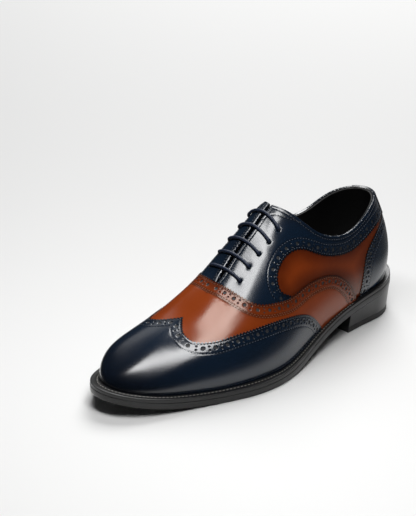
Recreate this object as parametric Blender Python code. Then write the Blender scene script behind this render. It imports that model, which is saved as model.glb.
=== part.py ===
"""Left brogue oxford: welted sole with stacked heel, hollow lasted upper, overlaid panels, tongue and lace.

The shoe stands on z = 0 with its toe along +X and its outer side along +Y. Working sizes are millimetres,
with x counted from the back of the sole. A point of the upper is named by its station x along the sole, its
height v from 0 at the sole to 1 on the instep ridge, and its side, +1 outer or -1 inner. Stations are spread
by u, from 0 at the heel to 1 at the toe, so that they lie closer together at both ends.
"""

import math

import bmesh
import bpy
import numpy as np
from mathutils import Vector

MM = 0.001
GAP = 0.3

# Sole
LENGTH = 300.0
HEEL_ROUND = 36.0
TOE_ROUND = 76.0
HEEL_LENGTH = 70.0
HEEL_BACK_HEIGHT = 26.0
HEEL_BREAST_HEIGHT = 16.5
TREAD_BACK = 168.0
TREAD_FRONT = 212.0
TOE_SPRING = 12.0
OUTSOLE = 5.0
WELT = 3.2
TOP_PIECE = 4.8
HEEL_TAPER = 2.2
HEEL_SET_BACK = 0.4
WELT_SET_BACK = 0.3
EDGE_ROUND = 0.8
WELT_UNDER_UPPER = 6.0
INSOLE = 4.8
SOLE_STATIONS = 41
LEDGE_STATIONS = 37
HEEL_STATIONS = 12

# Upper
UPPER_BACK = 4.5
UPPER_FRONT = 288.7
TOE_SIDE_ROUND = 60.5
ANKLE_HALF = 13.5
ANKLE = (60.0, 118.0)
ANKLE_REACH = 0.35
UPPER_OFFSET = -1.6
WALL = 2.0
PANEL_OFFSET = -1.0
THROAT = 183.0
SLIT_HALF = 2.3
SLIT_ROUND = 6.0
SLIT_BACK = 100.0
TOPLINE_END = 126.0
STATIONS = 36
MARKED_STATIONS = (108.0, 114.0, 118.5, 122.0, TOPLINE_END, 180.0, THROAT)
STATION_ROOM = 2.5
ROWS = 10
SHOULDER = 0.07
LOWEST_EDGE = 0.3
SHOULDER_EDGE = 0.58

# Panel thickness
WING_THICK = 1.7
VAMP_THICK = 1.35
FACING_THICK = 1.0
COUNTER_THICK = 1.1
STRIP_THICK = 1.3
STRIP_EDGE = 11.0
STRIP_LOW = 0.495
SEAM = 0.4
WING_COLUMNS = 12
VAMP_COLUMNS = 8
COUNTER_CROWDING = 1.8

# Lacing and tongue
LACE_RADIUS = 1.3
EYELET_RADIUS = 1.95
EYELET_FROM_SLIT = {1: 17.6, -1: 16.5}
EYELET_LOWEST = 172.4
EYELET_PITCH = 10.9
EYELET_ROWS = 5
EYELET_SIDES = 12
PUNCH_PAST = 2.0
PASSING = 3.3
PASSING_SPAN = 0.3
LACE_CLEAR = 0.5
LACE_OVER = PANEL_OFFSET + FACING_THICK + LACE_CLEAR + LACE_RADIUS
LACE_UNDER = UPPER_OFFSET - WALL - LACE_CLEAR - LACE_RADIUS
LACE_BEND = 1.8
LACE_END = 0.35
BAR_POINTS = 8
NEARLY_STRAIGHT = 0.9
TONGUE_TOP = 119.0
TONGUE_FRONT = 191.0
TONGUE_THICK = 1.8
TONGUE_CLEAR = 0.5
TONGUE_SAG = 0.4
TONGUE_SEAT = UPPER_OFFSET - WALL - TONGUE_CLEAR
TONGUE_UNDER_LACE = LACE_UNDER - LACE_RADIUS - TONGUE_CLEAR - TONGUE_SAG
TONGUE_DIP = (176.0, 186.0)
TONGUE_HALF_TOP = 27.0
TONGUE_HALF_FRONT = 19.0

NAVY = (0.012, 0.022, 0.052)
BROWN = (0.240, 0.055, 0.015)
BLACK = (0.010, 0.010, 0.011)
SOLE_BLACK = (0.020, 0.020, 0.021)


def spline(knots, values):
    """Natural cubic through the knots, as a function."""
    step = np.diff(knots)
    slope = np.diff(values) / step
    last = len(knots) - 1
    matrix = np.eye(last + 1)
    right = np.zeros(last + 1)
    for i in range(1, last):
        matrix[i, i - 1:i + 2] = step[i - 1], 2 * (step[i - 1] + step[i]), step[i]
        right[i] = 6 * (slope[i] - slope[i - 1])
    bend = np.linalg.solve(matrix, right)

    def value(x):
        x = np.asarray(x, float)
        i = np.clip(np.searchsorted(knots, x) - 1, 0, last - 1)
        h = step[i]
        after = knots[i + 1] - x
        before = x - knots[i]
        curve = (bend[i] * after**3 + bend[i + 1] * before**3) / (6 * h)
        line = (values[i] / h - bend[i] * h / 6) * after + (values[i + 1] / h - bend[i + 1] * h / 6) * before
        return curve + line

    return value


def table(columns, rows):
    """Smooth functions of the first column, one for each further column."""
    data = np.array(rows, float).T
    return {name: spline(data[0], data[i]) for i, name in enumerate(columns.split()) if i}


# Sole outline before its ends are rounded: half-widths, middle line, ledges, and how far in the upper sits
PLAN = table("x outer inner middle ledge_o ledge_i seat", [
    (0, 35.0, 34.0, 0.0, 3.0, 3.0, 4.5),
    (45, 36.0, 34.0, 0.0, 3.0, 3.0, 3.3),
    (85, 39.9, 29.5, 0.0, 3.6, 3.6, 3.6),
    (120, 48.2, 26.0, 0.0, 5.4, 5.4, 5.4),
    (150, 57.8, 29.0, 0.0, 6.8, 6.8, 6.8),
    (180, 62.4, 38.0, -0.5, 8.6, 8.6, 8.6),
    (205, 58.9, 43.3, -1.1, 8.8, 8.6, 8.8),
    (235, 49.6, 44.6, -1.7, 7.5, 6.4, 8.3),
    (265, 45.2, 43.4, -2.4, 6.3, 1.0, 8.0),
    (300, 43.0, 41.0, -3.5, 4.5, -3.0, 11.3),
])

# Sections of the last: where the top lies and how each side swells, rises and reaches in to it
LAST = table("x lean ridge top_z out_o out_i rise_o rise_i reach_o reach_i slope", [
    (0, 20, 0.0, 132.0, 10.0, 10.0, 0.42, 0.42, 0.90, 0.90, 84),
    (30, 14, 0.0, 133.0, 9.5, 9.0, 0.43, 0.43, 0.90, 0.90, 80),
    (60, 12, -0.5, 134.0, 6.5, 7.0, 0.45, 0.45, 0.90, 0.90, 74),
    (85, 8, -1.5, 133.0, 3.5, 6.0, 0.45, 0.46, 0.80, 0.80, 55),
    (105, 3, -3.0, 125.0, 2.0, 9.0, 0.44, 0.56, 0.64, 0.84, 25),
    (120, 0, -4.8, 117.9, 1.0, 12.2, 0.42, 0.64, 0.55, 1.35, 8),
    (140, 0, -3.4, 103.8, 0.5, 12.4, 0.42, 0.69, 0.52, 1.45, 2),
    (160, 0, -3.2, 87.8, 0.5, 9.5, 0.46, 0.70, 0.54, 1.36, 0),
    (180, 0, 0.0, 72.8, 0.5, 5.3, 0.52, 0.72, 0.56, 1.12, 0),
    (200, 0, 1.2, 60.7, 0.5, 2.9, 0.57, 0.72, 0.58, 1.00, 0),
    (218, 0, 0.0, 50.8, 0.5, 2.3, 0.60, 0.71, 0.65, 0.99, 0),
    (240, 0, -1.3, 44.3, 0.5, 0.5, 0.60, 0.68, 0.62, 1.01, 0),
    (265, 0, -2.5, 39.4, 0.2, 0.2, 0.58, 0.61, 0.60, 1.20, 0),
    (300, 0, -3.5, 37.0, 0.0, 0.0, 0.552, 0.552, 0.552, 0.552, 0),
])

# Height of the collar above the floor
TOPLINE = table("x z", [
    (0, 103.0), (15, 102.0), (33, 98.5), (46, 93.2), (59, 88.3), (71, 86.8), (84, 88.8), (98, 96.2),
    (107, 105.2), (113, 112.0), (118, 116.0), (126, 119.0),
])

# Panel edges: the station at which each height is reached
WING_EDGE = table("v x", [
    (0.00, 106.0), (0.10, 114.5), (0.20, 127.5), (0.30, 149.0), (0.40, 177.5), (0.50, 206.0),
    (0.57, 217.5), (0.65, 225.5), (0.74, 227.7), (0.85, 226.0), (0.94, 221.0), (1.00, 216.5),
])
VAMP_EDGE = table("v x", [
    (0.00, 60.5), (0.10, 66.5), (0.20, 77.0), (0.27, 90.0), (0.32, 110.0), (0.36, 133.0),
    (0.42, 151.0), (0.50, 165.5), (0.60, 174.5), (0.75, 179.8), (1.00, 183.0),
])

# Upper edge of the heel counter, counted along the edge from the back seam to the sole
COUNTER_EDGE = table("step x v", [
    (0, UPPER_BACK, 0.478), (1, 13.0, 0.468), (2, 22.0, 0.450), (3, 31.0, 0.410), (4, 40.0, 0.350),
    (5, 47.0, 0.285), (6, 51.0, 0.210), (7, 53.2, 0.130), (8, 54.8, 0.060), (9, 56.5, 0.0),
])
COUNTER_STEPS = 9

# Lower edge of facing and collar band around the quarter, counted along the edge from back to front
WINDOW_EDGE = table("step x v", [
    (0, 11.6, 0.490), (1, 22.0, 0.467), (2, 31.0, 0.448), (3, 42.0, 0.405), (4, 56.0, 0.364),
    (5, 71.0, 0.350), (6, 88.0, 0.384), (7, 101.0, 0.444), (8, 112.0, 0.510), (9, 122.0, 0.556),
    (10, 132.0, 0.584), (11, 140.0, 0.582), (12, 145.0, 0.556), (13, 147.6, 0.500), (14, 148.6, 0.430),
])
WINDOW_STEPS = 14


def smooth(x, start, end):
    """0 before start, 1 after end, with no corner between."""
    t = np.clip((x - start) / (end - start), 0, 1)
    return t * t * (3 - 2 * t)


def round_heel(x, back):
    """0 at the back of the heel, 1 where its sides run straight."""
    return np.sqrt(np.clip(1 - np.clip(1 - (x - back) / HEEL_ROUND, 0, 1) ** 2, 0, 1))


def round_toe(x, front, length):
    """0 at the tip of the toe, 1 where its sides run straight."""
    return np.sqrt(np.clip(1 - np.clip(1 - (front - x) / length, 0, 1) ** 2, 0, 1))


def sole_bottom(x):
    """Height of the outsole's underside: heel seat, arch, flat tread and toe spring."""
    x = np.asarray(x, float)
    fall = (HEEL_BREAST_HEIGHT - HEEL_BACK_HEIGHT) / HEEL_LENGTH
    arch = TREAD_BACK - HEEL_LENGTH
    t = np.clip((x - HEEL_LENGTH) / arch, 0, 1)
    seat = HEEL_BACK_HEIGHT + fall * x
    waist = HEEL_BREAST_HEIGHT * (2 * t**3 - 3 * t**2 + 1) + fall * arch * (t**3 - 2 * t**2 + t)
    spring = TOE_SPRING * np.clip((x - TREAD_FRONT) / (LENGTH - TREAD_FRONT), 0, 1) ** 2
    return np.where(x < HEEL_LENGTH, seat, waist) + spring


def between(u, back, front):
    """Station for u from 0 to 1, close together at both ends, and mirrored beyond them."""
    return back + (front - back) * (1 - np.cos(np.pi * np.asarray(u, float))) / 2


def turn_of(x, back=UPPER_BACK, front=UPPER_FRONT):
    """The u of a station."""
    return np.arccos(np.clip(1 - 2 * (np.asarray(x, float) - back) / (front - back), -1, 1)) / np.pi


def sole_outline(u, side):
    """Plan point of the sole's edge; past an end it goes on along the other side."""
    x = between(u, 0, LENGTH)
    side = np.where((u < 0) | (u > 1), -side, side)
    half = np.where(side > 0, PLAN["outer"](x), PLAN["inner"](x))
    y = PLAN["middle"](x) + side * half * round_heel(x, 0) * round_toe(x, LENGTH, TOE_ROUND)
    return np.stack([x, y], -1)


def plan(u, side, inset):
    """Sole outline moved in by inset along its own normal."""
    small = 1e-4
    along = sole_outline(u + small, side) - sole_outline(u - small, side)
    along /= np.linalg.norm(along, axis=-1, keepdims=True)
    inward = side * np.stack([along[..., 1], -along[..., 0]], -1)
    return sole_outline(u, side) + inward * np.asarray(inset)[..., None]


def last_point(u, v, side):
    """Point of the lasted surface."""
    u, v, side = np.broadcast_arrays(np.asarray(u, float), np.asarray(v, float), np.asarray(side))
    x = between(u, UPPER_BACK, UPPER_FRONT)
    side = np.where((u < 0) | (u > 1), -side, side)
    outer = side > 0
    heel = round_heel(x, UPPER_BACK)
    toe = round_toe(x, UPPER_FRONT, TOE_ROUND)

    def column(name):
        outside, inside = LAST[name + "_o"](x), LAST[name + "_i"](x)
        return (outside + inside) / 2 + side * heel * (outside - inside) / 2

    inside = PLAN["inner"](x) - PLAN["ledge_i"](x)
    half = np.where(outer, PLAN["outer"](x) - PLAN["ledge_o"](x), inside) * heel * toe
    low = sole_bottom(x) + OUTSOLE + GAP + WELT + GAP
    tip = round_toe(x, UPPER_FRONT, TOE_SIDE_ROUND)
    rise = (LAST["top_z"](x) - low) * tip
    middle = PLAN["middle"](x)
    ridge = middle + (LAST["ridge"](x) - middle) * tip
    ankle = ANKLE_HALF * (1 - smooth(x, *ANKLE))
    foot = np.stack([x, middle + side * half, low], -1)
    top = np.stack([x + LAST["lean"](x) * tip, ridge + side * ankle * heel, low + rise], -1)
    out = np.stack([-np.sqrt(1 - heel**2), side * heel, 0 * heel], -1)
    up = np.array([0.0, 0.0, 1.0])
    slope = np.radians(LAST["slope"](x))
    steep = np.clip(slope * 2 / np.pi, 0, 1)
    reach = column("reach") * (np.abs(foot[..., 1] - top[..., 1]) * (1 - steep) + ANKLE_REACH * rise * steep)
    low_handle = foot + out * (column("out") * toe)[..., None] + up * (column("rise") * rise)[..., None]
    high_handle = top + out * (np.cos(slope) * reach)[..., None] - up * (np.sin(slope) * reach)[..., None]
    v = v[..., None]
    w = 1 - v
    return w**3 * foot + 3 * w**2 * v * low_handle + 3 * w * v**2 * high_handle + v**3 * top


def normal(u, v, side):
    """Outward normal of the lasted surface."""
    small = 1e-4
    v = np.asarray(v, float)
    along = last_point(u + small, v, side) - last_point(u - small, v, side)
    upward = last_point(u, np.minimum(v + small, 1), side) - last_point(u, v - small, side)
    out = np.cross(upward, along) * np.asarray(side)[..., None]
    size = np.linalg.norm(out, axis=-1, keepdims=True)
    forward = np.array([1.0, 0.0, 0.0])
    tiny = 1e-9
    return np.where(size > tiny, out / np.maximum(size, tiny), forward)


def skin(u, v, side, offset):
    """Point of the lasted surface moved out by offset; both sides share the ridge."""
    u, v, side, offset = np.broadcast_arrays(np.asarray(u, float), np.asarray(v, float), side, offset)
    out = normal(u, v, side)
    shared = out + normal(u, v, -side)
    shared /= np.linalg.norm(shared, axis=-1, keepdims=True)
    out = np.where((v >= 1)[..., None], shared, out)
    return last_point(u, v, side) + out * offset[..., None]


def height_where(test, u, lowest=LOWEST_EDGE):
    """Lowest v at which test(v) turns true, for each u."""
    low = np.full(np.shape(u), lowest)
    high = np.ones(np.shape(u))
    for _ in range(30):
        middle = (low + high) / 2
        reached = test(middle)
        high = np.where(reached, middle, high)
        low = np.where(reached, low, middle)
    return high


def beside_slit(u, distance, side):
    """Height at which the surface lies this far to the side of the ridge."""
    ridge = LAST["ridge"](between(u, UPPER_BACK, UPPER_FRONT))
    return height_where(lambda v: np.abs(last_point(u, v, side)[..., 1] - ridge) <= distance, u, SHOULDER_EDGE)


def top_edge(u, side):
    """Height at which the upper ends: collar, slit, or 1 where it is closed."""
    u = np.asarray(u, float)
    x = between(u, UPPER_BACK, UPPER_FRONT)

    def over_collar(v):
        point = last_point(u, v, side)
        return point[..., 2] > TOPLINE["z"](np.clip(point[..., 0], 0, TOPLINE_END))

    collar = np.where(x < TOPLINE_END, height_where(over_collar, u), 1)
    slit = SLIT_HALF * np.sqrt(np.clip((THROAT - x) / SLIT_ROUND, 0, 1))
    open_to = np.where((x > SLIT_BACK) & (x < THROAT), beside_slit(u, slit, side), 1)
    return np.minimum(collar, open_to)


def frame_middle():
    """Sideways middle of the sole's box."""
    u = np.linspace(0, 1, 400)
    return (sole_outline(u, 1)[:, 1].max() + sole_outline(u, -1)[:, 1].min()) / 2


SHIFT = np.array([LENGTH / 2, frame_middle(), 0.0])


def placed(points):
    """Millimetres along the sole to metres in the shoe's frame."""
    return (np.asarray(points, float) - SHIFT) * MM


def material(name, colour, roughness):
    made = bpy.data.materials.new(name)
    made.use_nodes = True
    shader = made.node_tree.nodes["Principled BSDF"]
    shader.inputs["Base Color"].default_value = (*colour, 1.0)
    shader.inputs["Roughness"].default_value = roughness
    shader.inputs["Metallic"].default_value = 0.0
    return made


def add_object(name, data, finish, parent):
    made = bpy.data.objects.new(name, data)
    bpy.context.scene.collection.objects.link(made)
    made.data.materials.append(finish)
    made.parent = parent
    return made


def mesh_from_grids(name, grids):
    """One mesh from grids of points whose faces point out; points that meet are merged."""
    shape = bmesh.new()
    for points, flip in grids:
        verts = [[shape.verts.new(p) for p in row] for row in placed(points)]
        for a, b in zip(verts[:-1], verts[1:]):
            for i in range(len(a) - 1):
                face = (a[i], b[i], b[i + 1], a[i + 1])
                shape.faces.new(face[::-1] if flip else face)
    bmesh.ops.remove_doubles(shape, verts=shape.verts, dist=1e-6)
    bmesh.ops.dissolve_degenerate(shape, edges=shape.edges, dist=1e-7)
    bmesh.ops.triangulate(shape, faces=shape.faces, quad_method="SHORT_EDGE")
    mesh = bpy.data.meshes.new(name)
    shape.to_mesh(mesh)
    shape.free()
    mesh.shade_smooth()
    mesh.set_sharp_from_angle(angle=math.radians(35))
    return mesh


def panel(name, grids, thickness, finish, parent):
    """Sheet of leather: its inner face on the grids, its thickness outwards."""
    made = add_object(name, mesh_from_grids(name, grids), finish, parent)
    wall = made.modifiers.new("leather", "SOLIDIFY")
    wall.thickness = thickness * MM
    wall.offset = 1.0
    return made


def side_grid(u, v, side, offset):
    """Grid of points over arrays of u and v, and whether its faces are turned."""
    return skin(u, v, side, offset), side > 0


def row_shares():
    """Shares of the way up a section, closer together on its shoulder."""
    t = np.linspace(0, 1, ROWS + 1)
    return t + SHOULDER * np.sin(2 * np.pi * t)


def upper_grids():
    """Both sides of the upper, station by station, from the sole to the collar, slit or ridge."""
    even = [x for x in between(np.linspace(0, 1, STATIONS), UPPER_BACK, UPPER_FRONT)
            if min(abs(x - marked) for marked in MARKED_STATIONS) > STATION_ROOM]
    u = turn_of(np.array(sorted(even + list(MARKED_STATIONS))))
    return [side_grid(u[:, None], np.outer(top_edge(u, side), row_shares()), side, UPPER_OFFSET - WALL)
            for side in (1, -1)]


def band_grids(back, front, columns):
    """Both sides of a panel that runs from edge to edge at each height up to the ridge."""
    v = row_shares()
    share = np.linspace(0, 1, columns + 1)
    start, end = turn_of(back(v)), turn_of(front(v))
    u = start + (end - start) * share[:, None]
    return [side_grid(u, v[None, :], side, PANEL_OFFSET) for side in (1, -1)]


def facing_grid(side):
    """Facing and collar band, from the edge around the quarter and along the vamp up to collar and slit."""
    step = np.linspace(0, WINDOW_STEPS, 25)
    beside_vamp = row_shares()[4:9]
    x = np.concatenate([WINDOW_EDGE["x"](step), VAMP_EDGE["x"](beside_vamp) - 2 * SEAM])
    low = np.concatenate([WINDOW_EDGE["v"](step), beside_vamp])
    u = turn_of(x)
    high = top_edge(u, side)
    share = np.linspace(0, 1, 6)
    return side_grid(u[:, None], low[:, None] + np.outer(high - low, share), side, PANEL_OFFSET)


def counter_grids():
    """Heel counter on both sides of the back seam, from the sole to its edge."""
    step = COUNTER_STEPS * np.linspace(0, 1, 16) ** COUNTER_CROWDING
    u = turn_of(COUNTER_EDGE["x"](step))
    v = np.outer(COUNTER_EDGE["v"](step), np.linspace(0, 1, 6))
    return [side_grid(u[:, None], v, side, PANEL_OFFSET) for side in (1, -1)]


def strip_grids():
    """Strip over the back seam, from just above the counter to the collar."""
    u = turn_of(STRIP_EDGE) * np.linspace(0, 1, 4)
    share = np.linspace(0, 1, 4)
    grids = []
    for side in (1, -1):
        v = STRIP_LOW + np.outer(top_edge(u, side) - STRIP_LOW, share)
        grids.append(side_grid(u[:, None], v, side, PANEL_OFFSET))
    return grids


def tongue_grids():
    """Tongue under facings and lace, rising to its seat behind the throat."""
    x = np.linspace(TONGUE_TOP, TONGUE_FRONT, 12)
    u = turn_of(x)
    half = np.interp(x, [TONGUE_TOP, TONGUE_FRONT], [TONGUE_HALF_TOP, TONGUE_HALF_FRONT])
    depth = TONGUE_UNDER_LACE + (TONGUE_SEAT - TONGUE_UNDER_LACE) * smooth(x, *TONGUE_DIP) - TONGUE_THICK
    share = np.linspace(0, 1, 5)
    grids = []
    for side in (1, -1):
        low = beside_slit(u, half, side)
        grids.append(side_grid(u[:, None], low[:, None] + np.outer(1 - low, share), side, depth[:, None]))
    return grids


def ring(u, level):
    """Closed outline at one level, outer side to the toe and back along the inner side."""
    height, inset = level
    points = []
    for side in (1, -1):
        flat = plan(u, side, np.broadcast_to(inset(u), u.shape))
        line = np.concatenate([flat, height(flat[:, 0])[:, None]], 1)
        points.append(line if side > 0 else line[::-1])
    return np.concatenate(points)


def slab_mesh(name, u, levels):
    """Closed body between outlines, lowest first, filled across at the bottom and the top."""
    rings = [ring(u, level) for level in levels]
    count = len(u)
    walls = (np.stack([np.vstack([r, r[:1]]) for r in rings]), False)
    floor = (np.stack([rings[0][:count], rings[0][:count - 1:-1]]), True)
    roof = (np.stack([rings[-1][:count], rings[-1][:count - 1:-1]]), False)
    return mesh_from_grids(name, [walls, floor, roof])


def band_mesh(name, u, levels):
    """Closed ring whose section runs through the levels in order and back to the first."""
    rings = [ring(u, level) for level in levels + levels[:1]]
    return mesh_from_grids(name, [(np.stack([np.vstack([r, r[:1]]) for r in rings]), False)])


def above_sole(height):
    return lambda x: sole_bottom(x) + height


def level_at(height):
    return lambda x: np.full(np.shape(x), height)


def inset_by(amount):
    return lambda u: amount


def inside_ledge(amount):
    return lambda u: PLAN["seat"](between(u, 0, LENGTH)) + amount


def eyelet_row(row):
    """Station of an eyelet pair, counted up from the throat."""
    return EYELET_LOWEST - EYELET_PITCH * row


def on_facing(x, across, offset):
    """Point beside the slit, across it by so many millimetres, outer side positive."""
    side = 1 if across >= 0 else -1
    u = turn_of(np.array([x]))
    return skin(u, beside_slit(u, abs(across), side), side, offset)[0]


def eyelet_cutter(parent):
    """Round cutters along the normals of the ten eyelets, in one object."""
    shape = bmesh.new()
    for row in range(EYELET_ROWS):
        for side in (1, -1):
            across = side * EYELET_FROM_SLIT[side]
            inner = placed(on_facing(eyelet_row(row), across, UPPER_OFFSET - WALL - PUNCH_PAST))
            outer = placed(on_facing(eyelet_row(row), across, PUNCH_PAST))
            made = bmesh.ops.create_cone(
                shape, cap_ends=True, segments=EYELET_SIDES, radius1=EYELET_RADIUS * MM,
                radius2=EYELET_RADIUS * MM, depth=float(np.linalg.norm(outer - inner)))
            turn = Vector(outer - inner).to_track_quat("Z", "Y").to_matrix()
            bmesh.ops.rotate(shape, verts=made["verts"], cent=(0, 0, 0), matrix=turn)
            bmesh.ops.translate(shape, verts=made["verts"], vec=Vector((outer + inner) / 2))
    mesh = bpy.data.meshes.new("eyelet_cutter")
    shape.to_mesh(mesh)
    shape.free()
    made = bpy.data.objects.new("eyelet_cutter", mesh)
    bpy.context.scene.collection.objects.link(made)
    made.parent = parent
    made.hide_render = True
    made.display_type = "WIRE"
    return made


def cut_eyelets(made, cutter):
    cut = made.modifiers.new("eyelets", "BOOLEAN")
    cut.operation = "DIFFERENCE"
    cut.object = cutter


def straightness(a, b):
    """Cosine of the angle between two directions."""
    return float(np.dot(a, b) / (np.linalg.norm(a) * np.linalg.norm(b)))


def rounded(corners, radius):
    """Polyline with each inner corner turned through a short curve."""
    points = [corners[0]]
    for before, corner, after in zip(corners[:-2], corners[1:-1], corners[2:]):
        start = corner + (before - corner) * min(0.5, radius / np.linalg.norm(before - corner))
        end = corner + (after - corner) * min(0.5, radius / np.linalg.norm(after - corner))
        if straightness(corner - before, after - corner) > NEARLY_STRAIGHT:
            points.append(corner)
            continue
        for t in (0.0, 0.5, 1.0):
            points.append((1 - t) ** 2 * start + 2 * t * (1 - t) * corner + t**2 * end)
    return points + [corners[-1]]


def lace_route():
    """Straight-bar lacing: both ends climb hidden from the lowest bar and stop at the top pair."""
    top = EYELET_ROWS - 1
    route = []

    def hidden(row, across):
        route.append(on_facing(eyelet_row(row), across, LACE_UNDER))

    def bar(row, side):
        start = side * EYELET_FROM_SLIT[side]
        end = -side * EYELET_FROM_SLIT[-side]
        hidden(row, start)
        for across in np.linspace(start, end, BAR_POINTS):
            route.append(on_facing(eyelet_row(row), across, LACE_OVER))
        hidden(row, end)

    def pass_by(row, side, sideways):
        for part in (-PASSING_SPAN, PASSING_SPAN):
            hidden(row + part, side * (EYELET_FROM_SLIT[side] + sideways))

    hidden(top - LACE_END, EYELET_FROM_SLIT[1] - PASSING)
    bar(3, 1)
    pass_by(2, -1, -PASSING)
    bar(1, -1)
    bar(0, 1)
    pass_by(1, -1, PASSING)
    bar(2, -1)
    pass_by(3, 1, PASSING)
    bar(4, 1)
    hidden(top - LACE_END, -EYELET_FROM_SLIT[-1])
    return rounded(route, LACE_BEND)


def add_lace(finish, parent):
    curve = bpy.data.curves.new("lace", "CURVE")
    curve.dimensions = "3D"
    curve.bevel_depth = LACE_RADIUS * MM
    curve.bevel_resolution = 2
    curve.use_fill_caps = True
    points = placed(lace_route())
    path = curve.splines.new("POLY")
    path.points.add(len(points) - 1)
    for spot, point in zip(path.points, points):
        spot.co = (*point, 1.0)
    return add_object("lace", curve, finish, parent)


def build_sole(parent):
    leather = material("sole_edge", SOLE_BLACK, 0.4)
    rubber = material("heel_rubber", BLACK, 0.6)
    lining = material("lining", BLACK, 0.8)
    sole_u = np.linspace(0, 1, SOLE_STATIONS)
    ledge_u = np.linspace(0, 1, LEDGE_STATIONS)
    heel_u = np.linspace(0, turn_of(HEEL_LENGTH, 0, LENGTH), HEEL_STATIONS)

    def solid(name, stations, levels, finish):
        return add_object(name, slab_mesh(name, stations, levels), finish, parent)

    solid("outsole", sole_u, [
        (above_sole(0), inset_by(EDGE_ROUND)),
        (above_sole(EDGE_ROUND), inset_by(0)),
        (above_sole(OUTSOLE), inset_by(0)),
    ], leather)
    solid("heel_stack", heel_u, [
        (level_at(TOP_PIECE + GAP), inset_by(HEEL_TAPER)),
        (above_sole(-GAP), inset_by(HEEL_SET_BACK)),
    ], leather)
    solid("heel_top_piece", heel_u, [
        (level_at(0), inset_by(HEEL_TAPER + EDGE_ROUND)),
        (level_at(EDGE_ROUND), inset_by(HEEL_TAPER)),
        (level_at(TOP_PIECE), inset_by(HEEL_TAPER)),
    ], rubber)
    low = OUTSOLE + GAP
    high = low + WELT
    welt = band_mesh("welt", ledge_u, [
        (above_sole(low), inset_by(WELT_SET_BACK)),
        (above_sole(high - EDGE_ROUND), inset_by(WELT_SET_BACK)),
        (above_sole(high), inset_by(WELT_SET_BACK + EDGE_ROUND)),
        (above_sole(high), inside_ledge(WELT_UNDER_UPPER)),
        (above_sole(low), inside_ledge(WELT_UNDER_UPPER)),
    ])
    add_object("welt", welt, leather, parent)
    within = inside_ledge(WELT_UNDER_UPPER + GAP)
    solid("insole", ledge_u, [(above_sole(low), within), (above_sole(low + INSOLE), within)], lining)


def build_upper(parent):
    navy = material("navy_leather", NAVY, 0.28)
    brown = material("brown_leather", BROWN, 0.28)
    lining = material("tongue_leather", BLACK, 0.7)
    cord = material("lace_cord", NAVY, 0.6)
    cutter = eyelet_cutter(parent)
    cut_eyelets(panel("upper", upper_grids(), WALL, brown, parent), cutter)

    def toe(v):
        return np.full(np.shape(v), UPPER_FRONT)

    def beside(edge, gap):
        return lambda v: edge["x"](v) + gap

    wing = band_grids(beside(WING_EDGE, SEAM), toe, WING_COLUMNS)
    vamp = band_grids(beside(VAMP_EDGE, SEAM), beside(WING_EDGE, -SEAM), VAMP_COLUMNS)
    panel("wing_cap", wing, WING_THICK, navy, parent)
    panel("vamp", vamp, VAMP_THICK, brown, parent)
    for name, side in (("facing_outer", 1), ("facing_inner", -1)):
        cut_eyelets(panel(name, [facing_grid(side)], FACING_THICK, navy, parent), cutter)
    panel("counter", counter_grids(), COUNTER_THICK, navy, parent)
    panel("back_strip", strip_grids(), STRIP_THICK, navy, parent)
    panel("tongue", tongue_grids(), TONGUE_THICK, lining, parent)
    add_lace(cord, parent)


def main():
    for old in list(bpy.data.objects):
        bpy.data.objects.remove(old)
    shoe = bpy.data.objects.new("shoe", None)
    bpy.context.scene.collection.objects.link(shoe)
    build_sole(shoe)
    build_upper(shoe)


main()
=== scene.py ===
"""Left brogue oxford in navy and cognac leather: its finished surfaces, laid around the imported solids.

Working sizes are millimetres, with x counted from the back of the sole, and placed() turns them into metres
in the shoe's frame: toe along +X, outer side along +Y, floor at z = 0. A point of the upper is named by its
turn u from heel to toe, its height v from 0 at the sole to 1 on the instep ridge, and its side, +1 outer or
-1 inner.
"""

import math

import bpy
import numpy as np
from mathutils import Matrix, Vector, geometry
from mathutils.kdtree import KDTree


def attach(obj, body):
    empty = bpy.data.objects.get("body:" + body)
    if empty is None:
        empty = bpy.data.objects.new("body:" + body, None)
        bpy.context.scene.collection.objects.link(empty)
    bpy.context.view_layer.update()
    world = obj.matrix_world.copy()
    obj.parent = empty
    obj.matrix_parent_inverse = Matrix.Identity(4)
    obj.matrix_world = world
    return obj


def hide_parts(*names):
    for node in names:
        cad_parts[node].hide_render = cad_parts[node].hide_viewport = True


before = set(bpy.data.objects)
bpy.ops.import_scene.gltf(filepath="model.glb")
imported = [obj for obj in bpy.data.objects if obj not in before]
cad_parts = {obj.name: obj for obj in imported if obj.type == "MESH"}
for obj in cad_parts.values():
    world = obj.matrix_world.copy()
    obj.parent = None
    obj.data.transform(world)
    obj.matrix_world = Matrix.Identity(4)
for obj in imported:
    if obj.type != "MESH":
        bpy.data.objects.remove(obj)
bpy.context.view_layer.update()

MM = 0.001
GAP = 0.3
SIDES = (1, -1)

# Sole
LENGTH = 300.0
HEEL_ROUND = 36.0
TOE_ROUND = 76.0
HEEL_LENGTH = 70.0
HEEL_BACK_HEIGHT = 26.0
HEEL_BREAST_HEIGHT = 16.5
TREAD_BACK = 168.0
TREAD_FRONT = 212.0
TOE_SPRING = 12.0
OUTSOLE = 5.0
WELT = 3.2
TOP_PIECE = 4.8
HEEL_TAPER = 2.2
HEEL_SET_BACK = 0.4
WELT_SET_BACK = 0.3
WELT_UNDER_UPPER = 6.0
WELT_STITCHES = (58.0, 66.0)
WELT_STITCH_PLACE = 0.5
WELT_GROOVE_DEEP = 0.35
WELT_GROOVE_HALF = (0.75, 0.35)
INSOLE = 4.8
OUTSOLE_OVERLAP = 0.8 * GAP
TREAD_CORNER = 0.8
LAID_CORNER = 0.15
LIFT_CORNER = 0.25
WELT_CORNER = 0.6

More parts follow.
